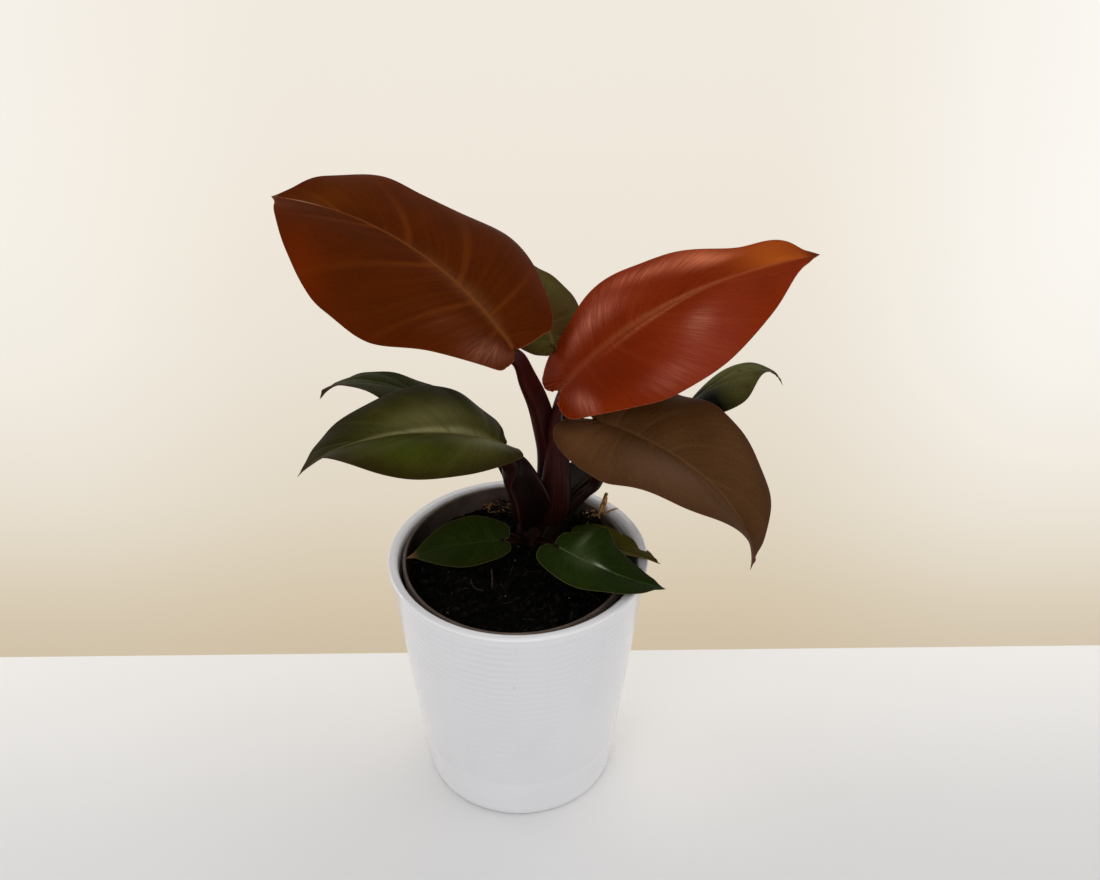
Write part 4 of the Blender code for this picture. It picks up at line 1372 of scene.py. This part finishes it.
def upper_leaves() -> list[Leaf]:
    """The four leaves nearest the eye: three red or brown ones and an olive one.

    Returns:
        The leaves.
    """
    return [
        Leaf(
            "upper_left", (-0.0011, 0.0132, 0.2631),
            ((0.0100, 0.0285, 0.1390), (0.0144, 0.0300, 0.1487), (0.0167, 0.0310, 0.1717),
             (0.0167, 0.0300, 0.1921), (0.0135, 0.0260, 0.2138), (0.0104, 0.0235, 0.2277),
             (0.0059, 0.0200, 0.2419), (0.0023, 0.0155, 0.2551)),
            heading=147, sweep=7.0, bow=-2.41, rise=49.7, droop=55.4, bend=0.9, arch=-4.23,
            roll=-4.46, twist=-0.351, length=0.164, width=0.1121, fold=19.9, curl=57.4,
            left=Half(0.0282, 0.442, 1.03, 1.08, 0.746, 0.378, (-0.00518, 0.295), (-0.00225, 0.733)),
            right=Half(0.012, 0.68, 1.15, 0.789, 0.770, 0.475, (0.00398, 0.295), (0.00475, 0.745)),
            foot_width=0.0175, top_width=0.0062, channel=0.42, skin=RED_STALK,
            rows=230, columns=84, veins=6.5, vein_depth=0.00022, ripple=0.0003,
            finish=BladeFinish(
                deep=(58, 20, 0), light=(78, 29, 2), vein=(104, 50, 12), midrib=(114, 62, 26),
                margin=(84, 26, 0), tip=(92, 58, 36), under=(92, 30, 18), rim=(124, 74, 44),
                vein_strength=0.36, midrib_width=2.0, midrib_strength=0.55, margin_width=14.0,
                margin_strength=0.3, tip_start=0.97, specular=0.01, patches=(
                    Patch((104, 48, 0), -0.4, 0.82, 0.9, 0.18, 0.35, 0.2),
                    Patch((104, 32, 0), 1.0, 0.66, 0.35, 0.26, 0.6, 0.2),
                    # Painted highlight: a pale streak of sheen at the tip.
                    Patch((170, 134, 110), 0.05, 0.90, 0.15, 0.10, 1.5, 0.4),
                    # Painted sheen: pinkish-grey streaks on the left half's base lobe.
                    Patch((132, 82, 64), 0.68, 0.04, 0.42, 0.08, 0.85, 0.8),
                    Patch((104, 52, 30), 0.5, 0.18, 0.30, 0.12, 0.5, 0.9),
                    Patch((104, 62, 34), 0.0, 0.20, 0.14, 0.34, 0.6),
                ),
            ),
        ),
        Leaf(
            "lower_left", (-0.0062, 0.0017, 0.2131),
            ((0.0067, 0.0220, 0.1471), (0.0074, 0.0170, 0.1604), (0.0058, 0.0130, 0.1732),
             (0.0018, 0.0100, 0.1864), (-0.0024, 0.0065, 0.1990)),
            heading=218, sweep=-57.1, bow=-6.72, rise=40.9, droop=94.5, bend=1.25, arch=-5.55,
            roll=-6.44, twist=7.93, length=0.124, width=0.0747, fold=31.4, curl=48.2,
            left=Half(0.0, 0.30, 1.10, 0.978, 0.426, 0.08, (-0.00174, 0.51), (-0.00005, 0.704), 0.085),
            right=Half(0.0306, 0.647, 0.988, 0.828, 0.534, 0.327, (0.00265, 0.143), (-0.00196, 0.619)),
            foot_width=0.0255, top_width=0.0090, channel=0.50, spin=-98.0, pinch=0.55,
            rows=190, columns=72, vein_depth=0.00028, ripple=0.0003,
            finish=BladeFinish(
                deep=(32, 32, 0), light=(62, 60, 12), vein=(72, 70, 30), midrib=(104, 98, 60),
                margin=(30, 20, 0), tip=(42, 20, 8), under=(56, 38, 20), rim=(88, 52, 32),
                vein_strength=0.4, midrib_width=1.8, midrib_strength=0.7, margin_width=13.0,
                margin_strength=0.75, specular=0.03, patches=(
                    # Painted highlight: a broad pale sheen over the right half, and a narrower one along the
                    # midrib.
                    Patch((104, 100, 62), -0.34, 0.36, 0.42, 0.28, 0.75, 0.35),
                    Patch((140, 136, 94), -0.05, 0.36, 0.12, 0.36, 0.8, 0.3),
                    Patch((26, 18, 0), -0.6, 0.78, 0.7, 0.24, 0.8, 0.3),
                    Patch((104, 102, 66), 0.30, 0.16, 0.40, 0.16, 0.7, 0.4),
                    # Painted highlight on the rounded base lobe.
                    Patch((146, 142, 112), 0.22, 0.01, 0.30, 0.07, 0.95, 0.3),
                    Patch((50, 60, 0), 0.60, 0.46, 0.30, 0.16, 0.7, 0.2),
                ),
            ),
        ),
        Leaf(
            "lower_right", (0.0399, 0.0176, 0.2195),
            ((0.0095, 0.0262, 0.1370), (0.0133, 0.0270, 0.1427), (0.0211, 0.0260, 0.1503),
             (0.0282, 0.0260, 0.1585), (0.0358, 0.0270, 0.1665), (0.0428, 0.0280, 0.1745),
             (0.0440, 0.0210, 0.2020)),
            heading=-36.7, sweep=15.9, bow=-2.98, rise=3.73, droop=102, bend=2.2, arch=-6.51,
            roll=26.2, twist=-34.5, length=0.127, width=0.0763, fold=34.4, curl=40.8,
            left=Half(0.103, 0.759, 0.96, 0.886, 0.673, 0.316, (-0.00979, 0.222), (-0.00205, 0.663)),
            right=Half(0.103, 0.885, 1.07, 0.927, 0.436, 0.247, (0.00486, 0.445), (0.00181, 0.749)),
            foot_width=0.0105, top_width=0.0068,
            rows=190, columns=72, vein_depth=0.00026, ripple=0.0003,
            finish=BladeFinish(
                deep=(60, 35, 13), light=(82, 53, 26), vein=(90, 62, 34), midrib=(102, 70, 42),
                margin=(60, 32, 14), tip=(60, 32, 20), under=(90, 44, 32), rim=(104, 66, 46),
                vein_strength=0.30, midrib_width=1.6, midrib_strength=0.5, margin_strength=0.5,
                patches=(
                    # Partly a paler base, partly painted light against the shade that the leaf above casts
                    # on it.
                    Patch((108, 70, 40), -0.20, 0.04, 1.0, 0.16, 0.8, 0.3),
                    # Painted sheen: a purple-grey highlight on the right half.
                    Patch((92, 66, 52), -0.45, 0.45, 0.5, 0.30, 0.6, 0.3),
                ),
            ),
        ),
        Leaf(
            "upper_right", (0.0241, 0.0280, 0.2334),
            ((0.0110, 0.0280, 0.1400), (0.0168, 0.0265, 0.1500), (0.0193, 0.0235, 0.1610),
             (0.0205, 0.0225, 0.1760), (0.0209, 0.0235, 0.1890), (0.0205, 0.0255, 0.2020),
             (0.0205, 0.0275, 0.2170)),
            heading=13.2, sweep=5.44, bow=-0.09, rise=50.4, droop=49.5, bend=1.05, arch=-6.07,
            roll=10.6, twist=10.0, length=0.155, width=0.0907, fold=6.63, curl=32.9,
            left=Half(0.0597, 0.598, 0.909, 0.798, 0.413, 0.340, (0.00652, 0.265), (-0.00148, 0.678)),
            right=Half(0.054, 0.67, 1.10, 0.992, 0.623, 0.215, (0.00149, 0.349), (-0.00046, 0.698)),
            foot_width=0.0225, top_width=0.0054, taper=0.85, channel=0.30, spin=-100.0, pinch=0.30,
            gutter=0.0002, skin=RED_STALK,
            rows=230, columns=84, veins=7.0, vein_depth=0.00014, ripple=0.0004, pucker=0.0008,
            finish=BladeFinish(
                deep=(96, 24, 0), light=(122, 38, 5), vein=(140, 64, 30), midrib=(150, 82, 50),
                margin=(124, 40, 2), tip=(80, 32, 8), under=(120, 36, 22),
                rim=(150, 86, 60), vein_strength=0.10, midrib_width=3.6, midrib_strength=0.26,
                margin_strength=0.3, roughness=0.4, specular=0.02, patches=(
                    Patch((172, 84, 22), 0.5, 0.86, 1.0, 0.20, 0.7, 0.2),
                    Patch((134, 54, 40), -0.8, 0.48, 0.5, 0.26, 0.7, 0.5),
                    Patch((86, 20, 0), -0.45, 0.18, 0.5, 0.20, 0.6, 0.2),
                    # The next six patches are painted highlights: pinkish streaks of sheen along the left
                    # half and its margin, on the right half and at the base.
                    Patch((180, 100, 78), 0.52, 0.20, 0.26, 0.17, 0.9, 0.8),
                    Patch((184, 100, 72), 0.78, 0.46, 0.17, 0.24, 0.8, 0.85),
                    Patch((206, 116, 80), 0.84, 0.64, 0.20, 0.12, 0.8, 0.6),
                    Patch((172, 108, 86), -0.56, 0.50, 0.20, 0.09, 0.6, 0.9),
                    Patch((150, 80, 64), -0.80, 0.33, 0.20, 0.14, 0.6, 0.8),
                    Patch((176, 104, 84), -0.72, 0.03, 0.34, 0.05, 0.9, 0.7),
                    Patch((152, 88, 56), 0.03, 0.50, 0.10, 0.30, 0.6, 0.9),
                    Patch((150, 84, 52), -0.10, 0.40, 0.05, 0.26, 0.7, 0.6),
                ),
            ),
        ),
    ]


def back_leaves() -> list[Leaf]:
    """The three leaves behind.

    Returns:
        The leaves.
    """
    return [
        Leaf(
            "back", (0.0195, 0.0519, 0.2426),
            ((0.0110, 0.0340, 0.1390), (0.0161, 0.0400, 0.1462), (0.0200, 0.0500, 0.1584),
             (0.0235, 0.0580, 0.1802), (0.0258, 0.0600, 0.2052), (0.0252, 0.0570, 0.2230)),
            heading=104, sweep=15.4, rise=26.1, droop=20, bend=1.4, roll=18.1, twist=0.4,
            length=0.0769, width=0.0554, fold=8.2, curl=21.9, foot_width=0.009, top_width=0.0032,
            rows=110, columns=48, veins=7.0, skin=OLIVE_STALK,
            finish=BladeFinish(
                deep=(52, 42, 8), light=(76, 68, 28), vein=(84, 76, 40), midrib=(98, 88, 50),
                margin=(62, 36, 8), tip=(52, 30, 16), under=(66, 44, 26), specular=0.02,
                vein_strength=0.3, patches=(Patch((66, 34, 4), -0.3, 0.25, 0.7, 0.40, 0.8, 0.3),),
            ),
        ),
        Leaf(
            "back_left", (-0.020, 0.035, 0.200),
            ((0.0060, 0.0300, 0.1390), (0.0020, 0.0310, 0.1570), (-0.0060, 0.0350, 0.1740),
             (-0.0130, 0.0370, 0.1880)),
            heading=157, sweep=14, rise=24, droop=84, bend=2.8, roll=13, twist=5,
            length=0.103, width=0.054, fold=12, curl=23,
            right=Half(wide=0.80, middle=0.64, far=0.52, tip=0.31), foot_width=0.0095, top_width=0.005,
            rows=120, columns=48, veins=7.0,
            finish=BladeFinish(
                deep=(24, 28, 0), light=(48, 50, 10), vein=(56, 58, 20), midrib=(88, 86, 54),
                margin=(26, 20, 2), tip=(40, 20, 8), under=(52, 34, 18), specular=0.02,
                patches=(Patch((106, 104, 74), 0.45, 0.84, 0.40, 0.10, 0.8, 0.3),),
            ),
        ),
        Leaf(
            "back_right", (0.0674, 0.0521, 0.1796),
            ((0.0130, 0.0310, 0.1390), (0.0178, 0.0340, 0.1495), (0.0256, 0.0380, 0.1588),
             (0.0338, 0.0420, 0.1650), (0.0425, 0.0450, 0.1712), (0.0540, 0.0490, 0.1766)),
            heading=22, sweep=0.43, bow=6.12, rise=32.7, droop=103, bend=2.53, arch=6.45,
            roll=-56.9, twist=65.5, length=0.109, width=0.0556, fold=9.9, curl=66.6,
            left=Half(0.08, 0.86, 1.0, 0.913, 0.431, 0.0523, (0.0, 0.35), (0.00074, 0.709)),
            right=Half(0.08, 0.86, 1.0, 0.933, 0.312, 0.0457, (0.00111, 0.348), (0.00083, 0.718)),
            foot_width=0.029, top_width=0.009,
            rows=150, columns=56, veins=7.0, skin=GREEN_STALK,
            finish=BladeFinish(
                deep=(44, 46, 10), light=(88, 86, 44), vein=(92, 88, 50), midrib=(108, 104, 66),
                margin=(46, 36, 10), tip=(44, 24, 14), under=(58, 42, 26), specular=0.02,
                vein_strength=0.3, patches=(
                    # Painted shade: the blade's base part, which lies in shade, is darkened almost to black.
                    Patch((2, 4, 0), -0.3, 0.28, 2.0, 0.26, 2.2, 0.0),
                ),
            ),
        ),
    ]


def small_leaves() -> list[Leaf]:
    """The three small leaves at the soil.

    Returns:
        The leaves.
    """
    shared = {"top_width": 0.003, "veins": 6.0, "ripple": 0.0002, "midrib_height": 0.001, "skin": WINE}
    return [
        Leaf(
            "small_left", (-0.0078, 0.0023, 0.1524),
            ((0.0050, 0.0200, 0.1355), (0.0003, 0.0120, 0.1444)),
            heading=184, sweep=3.4, bow=0.6, rise=-1.1, droop=18.2, bend=1.39, arch=-0.5,
            roll=-23.5, twist=11.9, length=0.0542, width=0.0302, fold=13.2, curl=12.8,
            left=Half(0.0707, 0.761, 1.01, 0.949, 0.575, 0.15, (-0.00077, 0.349), (-0.00029, 0.70)),
            right=Half(0.0695, 0.789, 1.09, 0.956, 0.512, 0.15, (-0.00019, 0.35), (-0.00028, 0.70)),
            foot_width=0.0042, rows=100, columns=44, vein_depth=0.00014, **shared,
            finish=BladeFinish(
                deep=(18, 26, 1), light=(34, 46, 6), vein=(38, 52, 14), midrib=(50, 60, 26),
                margin=(30, 30, 4), tip=(124, 84, 62), under=(50, 40, 24), rim=(74, 68, 34),
                tip_start=0.84, vein_strength=0.2, midrib_width=0.7, margin_width=4.0,
            ),
        ),
        Leaf(
            "small_front", (0.0199, -0.0100, 0.1589),
            ((0.0094, 0.0200, 0.1376), (0.0156, 0.0050, 0.1491)),
            heading=-35.9, sweep=38.2, bow=0.6, rise=-9.2, droop=10.2, bend=1.4, arch=0.33,
            roll=8.4, twist=-11.8, length=0.0637, width=0.0383, fold=12.1, curl=20,
            left=Half(0.020, 0.58, 1.15, 0.84, 0.53, 0.25, (0.0050, 0.30)),
            right=Half(0.0704, 0.909, 1.0, 0.89, 0.619, 0.25, (-0.00141, 0.35)),
            foot_width=0.0040, rows=120, columns=52, vein_depth=0.00016, **shared,
            finish=BladeFinish(
                deep=(17, 29, 1), light=(34, 50, 9), vein=(44, 60, 20), midrib=(92, 104, 62),
                margin=(26, 28, 3), tip=(50, 26, 12), under=(54, 46, 28), rim=(80, 80, 46),
                vein_strength=0.3, midrib_width=0.9, margin_width=4.0,
                # These three patches are painted highlights: a broad sheen near the midrib, the lit crest of
                # the fold and a white streak.
                patches=(Patch((80, 92, 58), 0.0, 0.30, 0.50, 0.20, 0.7),
                         Patch((96, 106, 76), 0.55, 0.18, 0.60, 0.06, 0.7),
                         Patch((190, 194, 176), 0.08, 0.43, 0.10, 0.08, 0.9, 0.4)),
            ),
        ),
        Leaf(
            "small_right", (0.0300, 0.0240, 0.1372),
            ((0.0110, 0.0260, 0.1359), (0.0205, 0.0260, 0.1372)),
            heading=-40.9, sweep=4.5, rise=16.5, droop=14.7, bend=1.4, roll=4.6, twist=-36.6,
            length=0.0600, width=0.035, fold=15.1, curl=17,
            left=Half(wide=0.88, middle=0.80, wave=(0.00098, 0.32)),
            foot_width=0.0040, rows=100, columns=44, vein_depth=0.00015, **shared,
            finish=BladeFinish(
                deep=(44, 44, 0), light=(74, 70, 0), vein=(86, 82, 14), midrib=(112, 104, 48),
                margin=(66, 50, 2), tip=(96, 36, 8), under=(70, 56, 26), rim=(104, 88, 44),
                tip_start=0.84, specular=0.02, vein_strength=0.3, midrib_width=0.8, margin_width=4.0,
                patches=(Patch((34, 50, 8), 0.3, 0.0, 2.0, 0.30, 1.0, 0.0),),
            ),
        ),
    ]


@dataclass
class Crown:
    """The short stem that the stalks leave, with its scars, and the scale leaves at its side."""

    radius: float = 0.0085
    foot: float = 0.100
    shoulder: float = 0.136
    top: float = 0.152
    neck_radius: float = 0.0068
    tip_radius: float = 0.005
    scars: tuple[float, ...] = (0.1285, 0.1325, 0.1362, 0.1402)
    rows: int = 56
    scale_turn: float = 56.0
    scale_wall: float = 0.0005

    def make_stem(self) -> None:
        """Builds and dresses the stem."""
        profile = [(0.0, self.top), (self.tip_radius * 0.7, self.top - 0.0006),
                   (self.tip_radius, self.top - 0.0016), (self.neck_radius, (self.shoulder + self.top) / 2)]
        profile += [(self.radius, self.shoulder + (self.foot - self.shoulder) * row / self.rows)
                    for row in range(self.rows + 1)]
        profile.append((0.0, self.foot))
        bm = lathe(profile, 64)
        for vertex in bm.verts:
            if vertex.co.xy.length < MERGE:
                continue
            angle = math.atan2(vertex.co.y, vertex.co.x)
            height = vertex.co.z + 0.0012 * math.sin(angle + 0.6)
            ring = sum(bell(height - scar, 0.0005) for scar in self.scars)
            bulge = 0.03 * noise.noise(vertex.co * 160) - 0.05 * ring
            vertex.co.xy *= 1 + bulge
        bmesh.ops.translate(bm, verts=bm.verts, vec=(*CROWN_MIDDLE, 0))
        bark = GrainFinish((16, 5, 4), (46, 20, 15), 190.0, 0.55, 0.0004, 0.1)
        settle(to_piece("stem_crown", bm, [bark.material("stem_bark")], 60), "stalk_maroon", "crown")

    def make_scale(self, node: str, foot: Place, tip: Place, width: float, heading: float,
                   finish: GrainFinish) -> None:
        """Builds and dresses one scale leaf.

        Args:
            node: The node it stands for.
            foot: The middle of its foot.
            tip: Its tip.
            width: Its width.
            heading: Direction that its cup opens against, in degrees.
            finish: Its finish.
        """
        start, end = Vector(foot), Vector(tip)
        travel = (end - start).normalized()
        turn = math.radians(heading)
        outward = Vector((math.cos(turn), math.sin(turn), 0.0))
        across = travel.cross(outward).normalized()
        outward = across.cross(travel)
        bm = bmesh.new()
        bmesh.ops.create_grid(bm, x_segments=20, y_segments=32, size=1.0)
        for vertex in bm.verts:
            ratio = (vertex.co.y + 1) / 2
            half = width / 2 * abs(math.sin(math.pi * (0.3 + 0.7 * ratio))) ** 0.7
            angle = math.radians(self.scale_turn) * vertex.co.x
            back = outward * (1 - math.cos(angle))
            rib = outward * 0.00025 * bell(vertex.co.x, 0.12) * (1 - ratio)
            curl = outward * 0.0012 * ratio ** 3
            vertex.co = start.lerp(end, ratio) + (across * math.sin(angle) - back) * half + rib + curl
        bmesh.ops.remove_doubles(bm, verts=bm.verts, dist=SEAM)
        piece = to_piece("scale_" + node.split("_")[0], bm, [finish.material(node + "_skin")], 70)
        shell = piece.modifiers.new("thickness", "SOLIDIFY")
        shell.thickness = self.scale_wall
        shell.offset = 0.0
        settle(piece, node, node)

    def make(self) -> None:
        """Builds the stem and its scale leaves."""
        self.make_stem()
        green = GrainFinish((24, 30, 12), (58, 62, 32), 240.0, 0.42, 0.0002)
        brown = GrainFinish((40, 16, 10), (92, 54, 38), 420.0, 0.7, 0.0003, 0.1)
        self.make_scale("green_scale", (0.012, 0.023, 0.138), (0.026, 0.023, 0.153), 0.0075, -50, green)
        self.make_scale("brown_scale", (0.001, 0.023, 0.136), (-0.005, 0.018, 0.146), 0.0045, 230, brown)


# Studio


@dataclass(frozen=True)
class Lamp:
    """A soft light."""

    name: str
    place: Place
    aim: Place
    size: tuple[float, float]
    power: float
    colour: Place = (1.0, 1.0, 1.0)

    def make(self) -> None:
        """Adds the light."""
        data = bpy.data.lights.new(self.name, "AREA")
        data.shape = "RECTANGLE"
        data.size, data.size_y = self.size
        data.energy = self.power
        data.color = self.colour
        light = bpy.data.objects.new(self.name, data)
        light.location = self.place
        light.rotation_mode = "QUATERNION"
        light.rotation_quaternion = (Vector(self.aim) - Vector(self.place)).to_track_quat("-Z", "Y")
        bpy.context.scene.collection.objects.link(light)


@dataclass
class Studio:
    """A white table before a cream backdrop, soft lights and the camera."""

    camera_place: Place = (0.0172, -0.5849, 0.6031)
    camera_pitch: float = -33.34
    lens: float = 45.0
    sensor: float = 36.0
    sky_colour: Place = (1.0, 0.995, 0.985)
    sky_strength: float = 0.78
    table_back: tuple[float, float] = (0.0835, 0.0160)
    table_depth: float = 1.7
    table_half_width: float = 1.6
    table_thickness: float = 0.03
    wall_y: float = 1.2
    # Glowing tones of the backdrop from bottom to top: painted light.
    wall_painted_light: tuple[tuple[float, Tone], ...] = (
        (0.0, (205, 189, 162)), (0.0585, (208, 192, 166)), (0.136, (213, 198, 172)),
        (0.3165, (225, 214, 195)), (0.4326, (230, 220, 204)), (0.556, (234, 226, 212)),
        (0.7116, (238, 230, 216)), (0.865, (240, 232, 220)), (1.0, (240, 233, 222)),
    )
    lamps: tuple[Lamp, ...] = (
        Lamp("key_light", (-0.42, -0.85, 1.05), (0.0, 0.0, 0.12), (0.45, 0.03), 1.5, (1.0, 0.985, 0.96)),
        Lamp("left_light", (-0.95, 0.45, 0.60), (0.0, 0.0, 0.14), (0.4, 0.03), 0.8),
        Lamp("right_light", (0.95, -0.25, 0.95), (0.0, 0.0, 0.10), (0.6, 0.6), 1.2),
        Lamp("back_light", (0.20, 0.60, 1.35), (0.0, 0.05, 0.10), (0.8, 0.8), 1.5),
        Lamp("fill_light", (0.05, -1.15, 0.80), (0.0, 0.0, 0.05), (0.8, 0.8), 1.4),
    )

    def table(self) -> bpy.types.Object:
        """Builds the white table top, whose back edge runs a little askew behind the pot; its colour holds
        painted light.

        Returns:
            The table top.
        """
        bm = bmesh.new()
        bmesh.ops.create_cube(bm, size=1.0)
        middle, slope = self.table_back
        for vertex in bm.verts:
            x = vertex.co.x * 2 * self.table_half_width
            back = middle + slope * x
            y = back if vertex.co.y > 0 else back - self.table_depth
            z = 0.0 if vertex.co.z > 0 else -self.table_thickness
            vertex.co = (x, y, z)
        bmesh.ops.bevel(bm, geom=[edge for edge in bm.edges], offset=0.001, affect="EDGES", segments=2,
                        profile=0.5, material=-1)
        shader = Shader("white_table", Roughness=0.55)
        x, y, _ = shader.parts(shader.position())
        cloud = shader.noise(shader.position(), 5.0, 3.0)
        # Painted light: darker towards the front, paler towards the back.
        colour = shader.blend(y.ramp(-0.12, 0.10) * 0.9 + cloud * 0.1, (215, 215, 217), (240, 239, 238))
        # Painted shade towards the front right.
        painted_shade_front_right = x.ramp(0.05, 0.40) * y.ramp(-0.15, 0.12, 1.0, 0.0)
        colour = shader.blend(painted_shade_front_right * 0.7, colour, (208, 208, 210))
        # Painted light round the pot's foot, against the shade that the pot casts on the table.
        aside = (x - 0.06) * 9.0
        ahead = (y + 0.02) * 9.0
        painted_light_round_pot = x.math("POWER", 0.1, aside * aside + ahead * ahead)
        shader.set("Base Color", shader.blend(painted_light_round_pot * 0.65, colour, (248, 247, 246)))
        shader.relief(shader.noise(shader.position(), 300.0, 2.0), 0.0001, 0.3)
        return to_piece("table", bm, [shader.material], 30)

    def backdrop(self) -> bpy.types.Object:
        """Builds the cream backdrop, which glows with painted light, paler at the top and to the right.

        Returns:
            The backdrop.
        """
        bm = bmesh.new()
        bmesh.ops.create_grid(bm, x_segments=8, y_segments=8, size=3.0)
        upright = Matrix.Rotation(math.radians(90), 3, "X")
        bmesh.ops.rotate(bm, verts=bm.verts, cent=(0, 0, 0), matrix=upright)
        bmesh.ops.translate(bm, verts=bm.verts, vec=(0, self.wall_y, 0))
        shader = Shader("cream_backdrop", Base_Color=(0, 0, 0), Roughness=1.0, Specular_IOR_Level=0.0,
                        Emission_Strength=1.0)
        x, _, z = shader.parts(shader.position())
        # The backdrop is no lamp but glows: painted light that darkens towards the bottom, in the table's
        # shade, and pales to the right.
        painted_falloff = shader.node("ShaderNodeValToRGB", {"stops": self.wall_painted_light}, {0: (z + 1.05) / 1.15})
        side = x.distance_from(0.0).ramp(0.3, 0.8) * x.ramp(-0.4, 0.4, 0.55, 0.92)
        side = side * z.ramp(-1.1, -0.15, 0.08, 1.0)
        colour = shader.blend(side, painted_falloff, (252, 249, 243))
        shader.set("Emission Color", colour)
        return to_piece("backdrop", bm, [shader.material])

    def camera(self) -> None:
        """Sets the camera to the picture's view."""
        data = bpy.data.cameras.new("camera")
        data.lens = self.lens
        data.sensor_width = self.sensor
        camera = bpy.data.objects.new("camera", data)
        camera.location = self.camera_place
        camera.rotation_euler = (math.radians(90 + self.camera_pitch), 0.0, 0.0)
        bpy.context.scene.collection.objects.link(camera)
        bpy.context.scene.camera = camera

    def make(self) -> None:
        """Builds the studio."""
        self.table()
        self.backdrop()
        for lamp in self.lamps:
            lamp.make()
        world = bpy.data.worlds.new("studio")
        world.use_nodes = True
        background = world.node_tree.nodes["Background"]
        background.inputs["Color"].default_value = (*self.sky_colour, 1.0)
        background.inputs["Strength"].default_value = self.sky_strength
        bpy.context.scene.world = world
        bpy.context.scene.view_settings.view_transform = "Standard"
        self.camera()


def write_sizes() -> None:
    """Updates the view layer."""
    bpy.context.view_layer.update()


def main() -> None:
    """Builds every sub-assembly and the studio round it."""
    logging.basicConfig(level=logging.INFO, format="%(name)s: %(message)s")
    nursery_pot = NurseryPot()
    GlazedPot().make()
    nursery_pot.make()
    Soil(nursery_pot).make()
    Crown().make()
    for leaf in upper_leaves() + back_leaves() + small_leaves():
        leaf.make()
    Studio().make()
    write_sizes()


if __name__ == "__main__":
    main()
